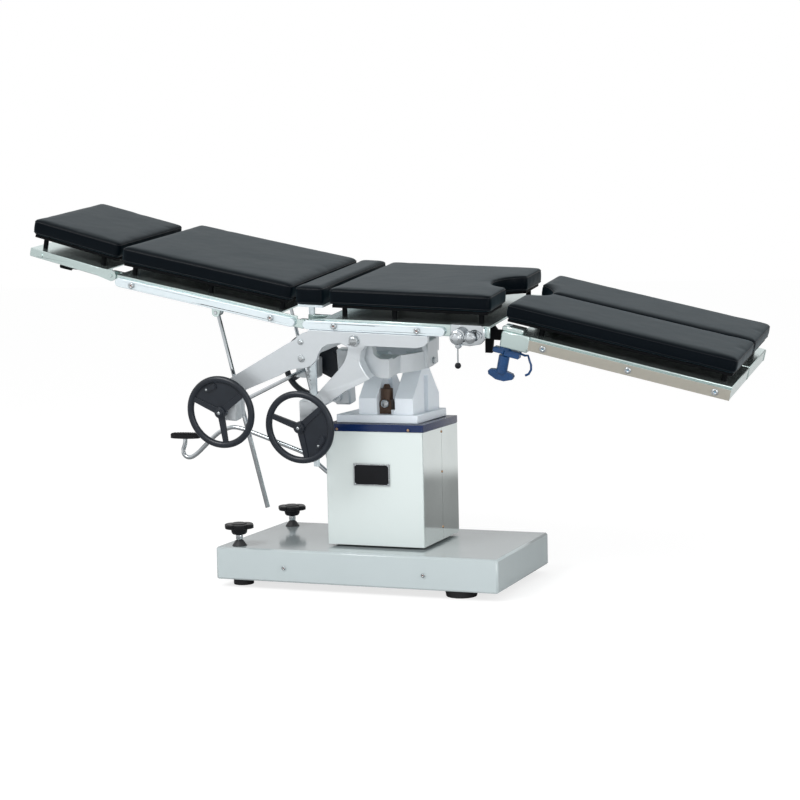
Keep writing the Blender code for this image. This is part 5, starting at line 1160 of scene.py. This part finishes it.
# %% Pedal tube
def rounded_path(points, passes=3):
    """Cut the corners of a path a few times, keeping its ends."""
    for _ in range(passes):
        cut = [points[0]]
        for first, second in zip(points, points[1:]):
            cut += [first.lerp(second, 0.25), first.lerp(second, 0.75)]
        points = cut + [points[-1]]
    return points


PEDAL_AXIS = (-0.0767, 0.262)
PEDAL_TUBE = 0.0062
pedal_bends = [
    (-0.602, 0.374), (-0.603, 0.358), (-0.611, 0.340), (-0.606, 0.324), (-0.588, 0.318),
    (-0.565, 0.331), (-0.537, 0.357), (-0.498, 0.392), (-0.470, 0.405), (-0.440, 0.411),
    (-0.383, 0.394), (-0.302, 0.366), (-0.236, 0.344), (-0.210, 0.330), (-0.180, 0.303),
    (-0.150, 0.280), (-0.110, 0.270), PEDAL_AXIS,
]
pedal_place = Matrix.Translation(Vector(joints["pedal_pump"]["pos_m"]))
tube_path = rounded_path([Vector((x - PEDAL_AXIS[0], 0.0, z - PEDAL_AXIS[1])) for x, z in pedal_bends])
sweep = tube_mesh("pedal_tube", tube_path, PEDAL_TUBE, 14, closed=False)
finish_piece(sweep, pedal_place, "pedal", chrome)
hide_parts("pedal_lever")
print("pedal tube", len(tube_path), "points")

# %% [markdown]
# The pedal turns on a zinc hub, and the foot presses an oval rubber tread. Eleven low ribs cross
# the tread, each cut to the oval's width at its place, so the shoe doesn't slip.

# %% Pedal hub and tread
PEDAL_HUB = [
    (0.0, -0.0180), (0.0042, -0.0180), (0.0045, -0.0110), (0.0115, -0.0110), (0.0120, -0.0100),
    (0.0120, 0.0100), (0.0115, 0.0110), (0.0045, 0.0110), (0.0042, 0.0180), (0.0, 0.0180),
]
TREAD_LONG, TREAD_WIDE, RIB_WIDE = 0.0455, 0.0215, 0.0195
RIB_STEP, RIB_HALF = 0.0074, 0.0022
hub = Shape()
hub.spun(PEDAL_HUB, pedal_place @ Matrix.Rotation(radians(90), 4, "X"), 28)
hub.piece("pedal_hub", IN_PLACE, "pedal", zinc, "zinc", 0.0)
tread = Shape()
tread_spot = pedal_place @ Matrix.Translation((-0.5253, 0.0, 0.1200))
tread.slab(oval_outline(TREAD_LONG, TREAD_WIDE, 48), -0.0072, 0.0046, tread_spot)
for step in range(-5, 6):
    middle = step * RIB_STEP
    reach = RIB_WIDE * sqrt(1 - (middle / TREAD_LONG) ** 2)
    tread.slab(
        box_outline(middle - RIB_HALF, middle + RIB_HALF, -reach, reach), 0.0040, 0.0076, tread_spot,
    )
tread.piece("pedal_tread", IN_PLACE, "pedal", rubber, "black_rubber", 0.0008, ["pedal_pad"])
print("tread", round(2000 * TREAD_LONG), "mm long")

# %% [markdown]
# The accessory holder clamps a rod between two turned grips, and its lever ends in a black ball.
# The ball is a half circle spun about its own axis, and the grips are stepped profiles.

# %% Clamp ball and grips
CLAMP_BALL = 0.0080
CLAMP_FACE = 0.2642
ball = Shape()
ball_place = hinge_place("accessory_clamp_turn", HEAD_UP) @ Matrix.Translation((0.0, -0.2566, -0.0504))
half_circle = [radians(turn) for turn in range(-90, 91, 10)]
ball.spun([(CLAMP_BALL * cos(turn), CLAMP_BALL * sin(turn)) for turn in half_circle], ball_place, 24)
ball.piece("clamp_ball", IN_PLACE, "clamp_handle", plate_black, "black_rubber", 0.0)
grips = Shape()
for along, up, radius in ((0.2830, 0.0260, 0.0185), (0.3180, 0.0270, 0.0145)):
    grips.spun([
        (0.0, 0.0118), (radius * 0.45, 0.0116), (radius * 0.55, 0.0098), (radius * 0.78, 0.0094),
        (radius * 0.88, 0.0072), (radius * 0.80, 0.0052), (radius * 0.96, 0.0034), (radius, 0.0010),
        (radius, -0.0040),
    ], outward(seat_place, along, CLAMP_FACE, up), 32)
grips.piece("clamp_grips", IN_PLACE, "table_frame", chrome, "chrome", 0.0003)
print("clamp ball", round(2000 * CLAMP_BALL), "mm across")

# %% [markdown]
# The camera stands where the picture was taken from: its place, turn and lens were found by
# fitting points of the base, rails and pads. The roll is small but shows on the long level base.

# %% Camera
CAMERA_FROM_BASE = Vector((1.82466764, -4.47249334, 0.92483015))
YAW, PITCH, ROLL = radians(21.5745), radians(5.1425), radians(-1.2328)
LENS, SENSOR = 80.467, 36.0
forward = Vector((-sin(YAW) * cos(PITCH), cos(YAW) * cos(PITCH), -sin(PITCH)))
level = Vector((cos(YAW), sin(YAW), 0.0))
upright = level.cross(forward)
across = level * cos(ROLL) + upright * sin(ROLL)
above = upright * cos(ROLL) - level * sin(ROLL)
camera_data = bpy.data.cameras.new("studio_camera")
camera_data.lens = LENS
camera_data.sensor_width = SENSOR
camera = bpy.data.objects.new("studio_camera", camera_data)
facing = Matrix((across, above, -forward)).transposed().to_4x4()
camera.matrix_world = Matrix.Translation(CAMERA_FROM_BASE + stand_place.translation) @ facing
bpy.context.scene.collection.objects.link(camera)
bpy.context.scene.camera = camera
print("camera at", [round(value, 3) for value in camera.matrix_world.translation])

# %% [markdown]
# A white studio. The camera sees a pure white world. Other light from it is a little softer, and
# mirrors see it fade to grey near the horizon, because bright metal in a room that is white all
# round has no edges.

# %% The world
WHITE = (1.0, 1.0, 1.0, 1.0)
SOFT_LIGHT, HORIZON_GREY, HORIZON_HIGH = 0.72, 0.34, 0.45
scene = bpy.context.scene
scene.view_settings.view_transform = "Standard"
world = bpy.data.worlds.new("studio")
scene.world = world
world.use_nodes = True
sky = Wiring(world.node_tree)
rays = {
    kind: sky.node("ShaderNodeLightPath", output=f"Is {kind} Ray")
    for kind in ("Camera", "Glossy", "Transmission")
}
mirrored = rays["Glossy"].highest(rays["Transmission"])
heading = sky.node("ShaderNodeTexCoord", output="Generated")
height = sky.node("ShaderNodeSeparateXYZ", None, {"Vector": heading}, "Z")
fading = height.stretched(0.0, HORIZON_HIGH, HORIZON_GREY, 1.0)
background = sky.tree.nodes["Background"]
sky.put(background.inputs["Color"], sky.blend(mirrored, WHITE, fading))
sky.put(
    background.inputs["Strength"],
    rays["Camera"].highest(mirrored).stretched(0.0, 1.0, SOFT_LIGHT, 1.0),
)
print("world of", len(sky.tree.nodes), "nodes")

# %% [markdown]
# The floor is a pale sheet that still takes the shadow. To the camera it glows in part, so that
# it joins the white world without a line. To mirrors it is grey near the table and pale beyond,
# which gives chrome and steel their dark streaks.

# %% The floor
FLOOR_HALF, FLOOR_PALE, FLOOR_ROUGH, FLOOR_MIRRORED = 30.0, 0.9, 0.9, 0.34
NEAR_FLOOR, FAR_FLOOR, GLOW_SHARE, GLOW = 2.1, 2.5, 0.62, 1.2
floor_mesh = bpy.data.meshes.new("studio_floor")
floor_mesh.from_pydata(
    [
        (-FLOOR_HALF, -FLOOR_HALF, 0), (FLOOR_HALF, -FLOOR_HALF, 0),
        (FLOOR_HALF, FLOOR_HALF, 0), (-FLOOR_HALF, FLOOR_HALF, 0),
    ], [], [(0, 1, 2, 3)],
)
floor = bpy.data.objects.new("studio_floor", floor_mesh)
scene.collection.objects.link(floor)
floor.location.z = -0.0005
paint = Finish(
    "studio_floor", (FLOOR_PALE, FLOOR_PALE, FLOOR_PALE, 1.0), FLOOR_ROUGH, Specular_IOR_Level=0.0,
)
to_camera = paint.node("ShaderNodeLightPath", output="Is Camera Ray")
to_mirror = paint.node("ShaderNodeLightPath", output="Is Glossy Ray")
floor_point = paint.node("ShaderNodeTexCoord", output="Object")
distance = paint.node("ShaderNodeVectorMath", {"operation": "LENGTH"}, {0: floor_point}, "Value")
near = distance.stretched(NEAR_FLOOR, FAR_FLOOR, 1.0, 0.0)
paint.give("Base Color", (near * to_mirror).stretched(0.0, 1.0, FLOOR_PALE, FLOOR_MIRRORED))
glow = paint.node("ShaderNodeEmission", None, {"Strength": GLOW})
shown = paint.node("ShaderNodeMixShader", None, {
    0: to_camera * GLOW_SHARE, 1: Signal(paint, paint.surface.outputs[0]), 2: glow,
})
paint.put(paint.tree.nodes["Material Output"].inputs["Surface"], shown)
floor.data.materials.append(paint.material)
print("floor of", round(2 * FLOOR_HALF), "m")

# %% [markdown]
# Two large lamps model the castings: one high at the front left, one low from the right. A third
# fills the front from low down, and mirrors don't see it.


# %% Lamps
def lamp(name, place, target, size, watts):
    """A wide soft lamp aimed at a point."""
    data = bpy.data.lights.new(name, "AREA")
    data.shape = "RECTANGLE"
    data.size, data.size_y = size
    data.energy = watts
    made = bpy.data.objects.new(name, data)
    aim = (Vector(target) - Vector(place)).to_track_quat("-Z", "Y").to_matrix().to_4x4()
    made.matrix_world = Matrix.Translation(place) @ aim
    scene.collection.objects.link(made)
    return made


lamp("key_lamp", (-1.2, -2.6, 3.0), (0.0, 0.0, 0.6), (1.8, 1.2), 62.0)
lamp("side_lamp", (3.2, -1.8, 1.4), (0.0, 0.0, 0.5), (1.2, 1.6), 22.0)
fill_lamp = lamp("fill_lamp", (1.6, -3.2, 0.5), (0.0, 0.0, 0.5), (1.0, 0.6), 30.0)
fill_lamp.visible_glossy = False
print("studio ready with", len(bpy.data.lights), "lamps")

# %% [markdown]
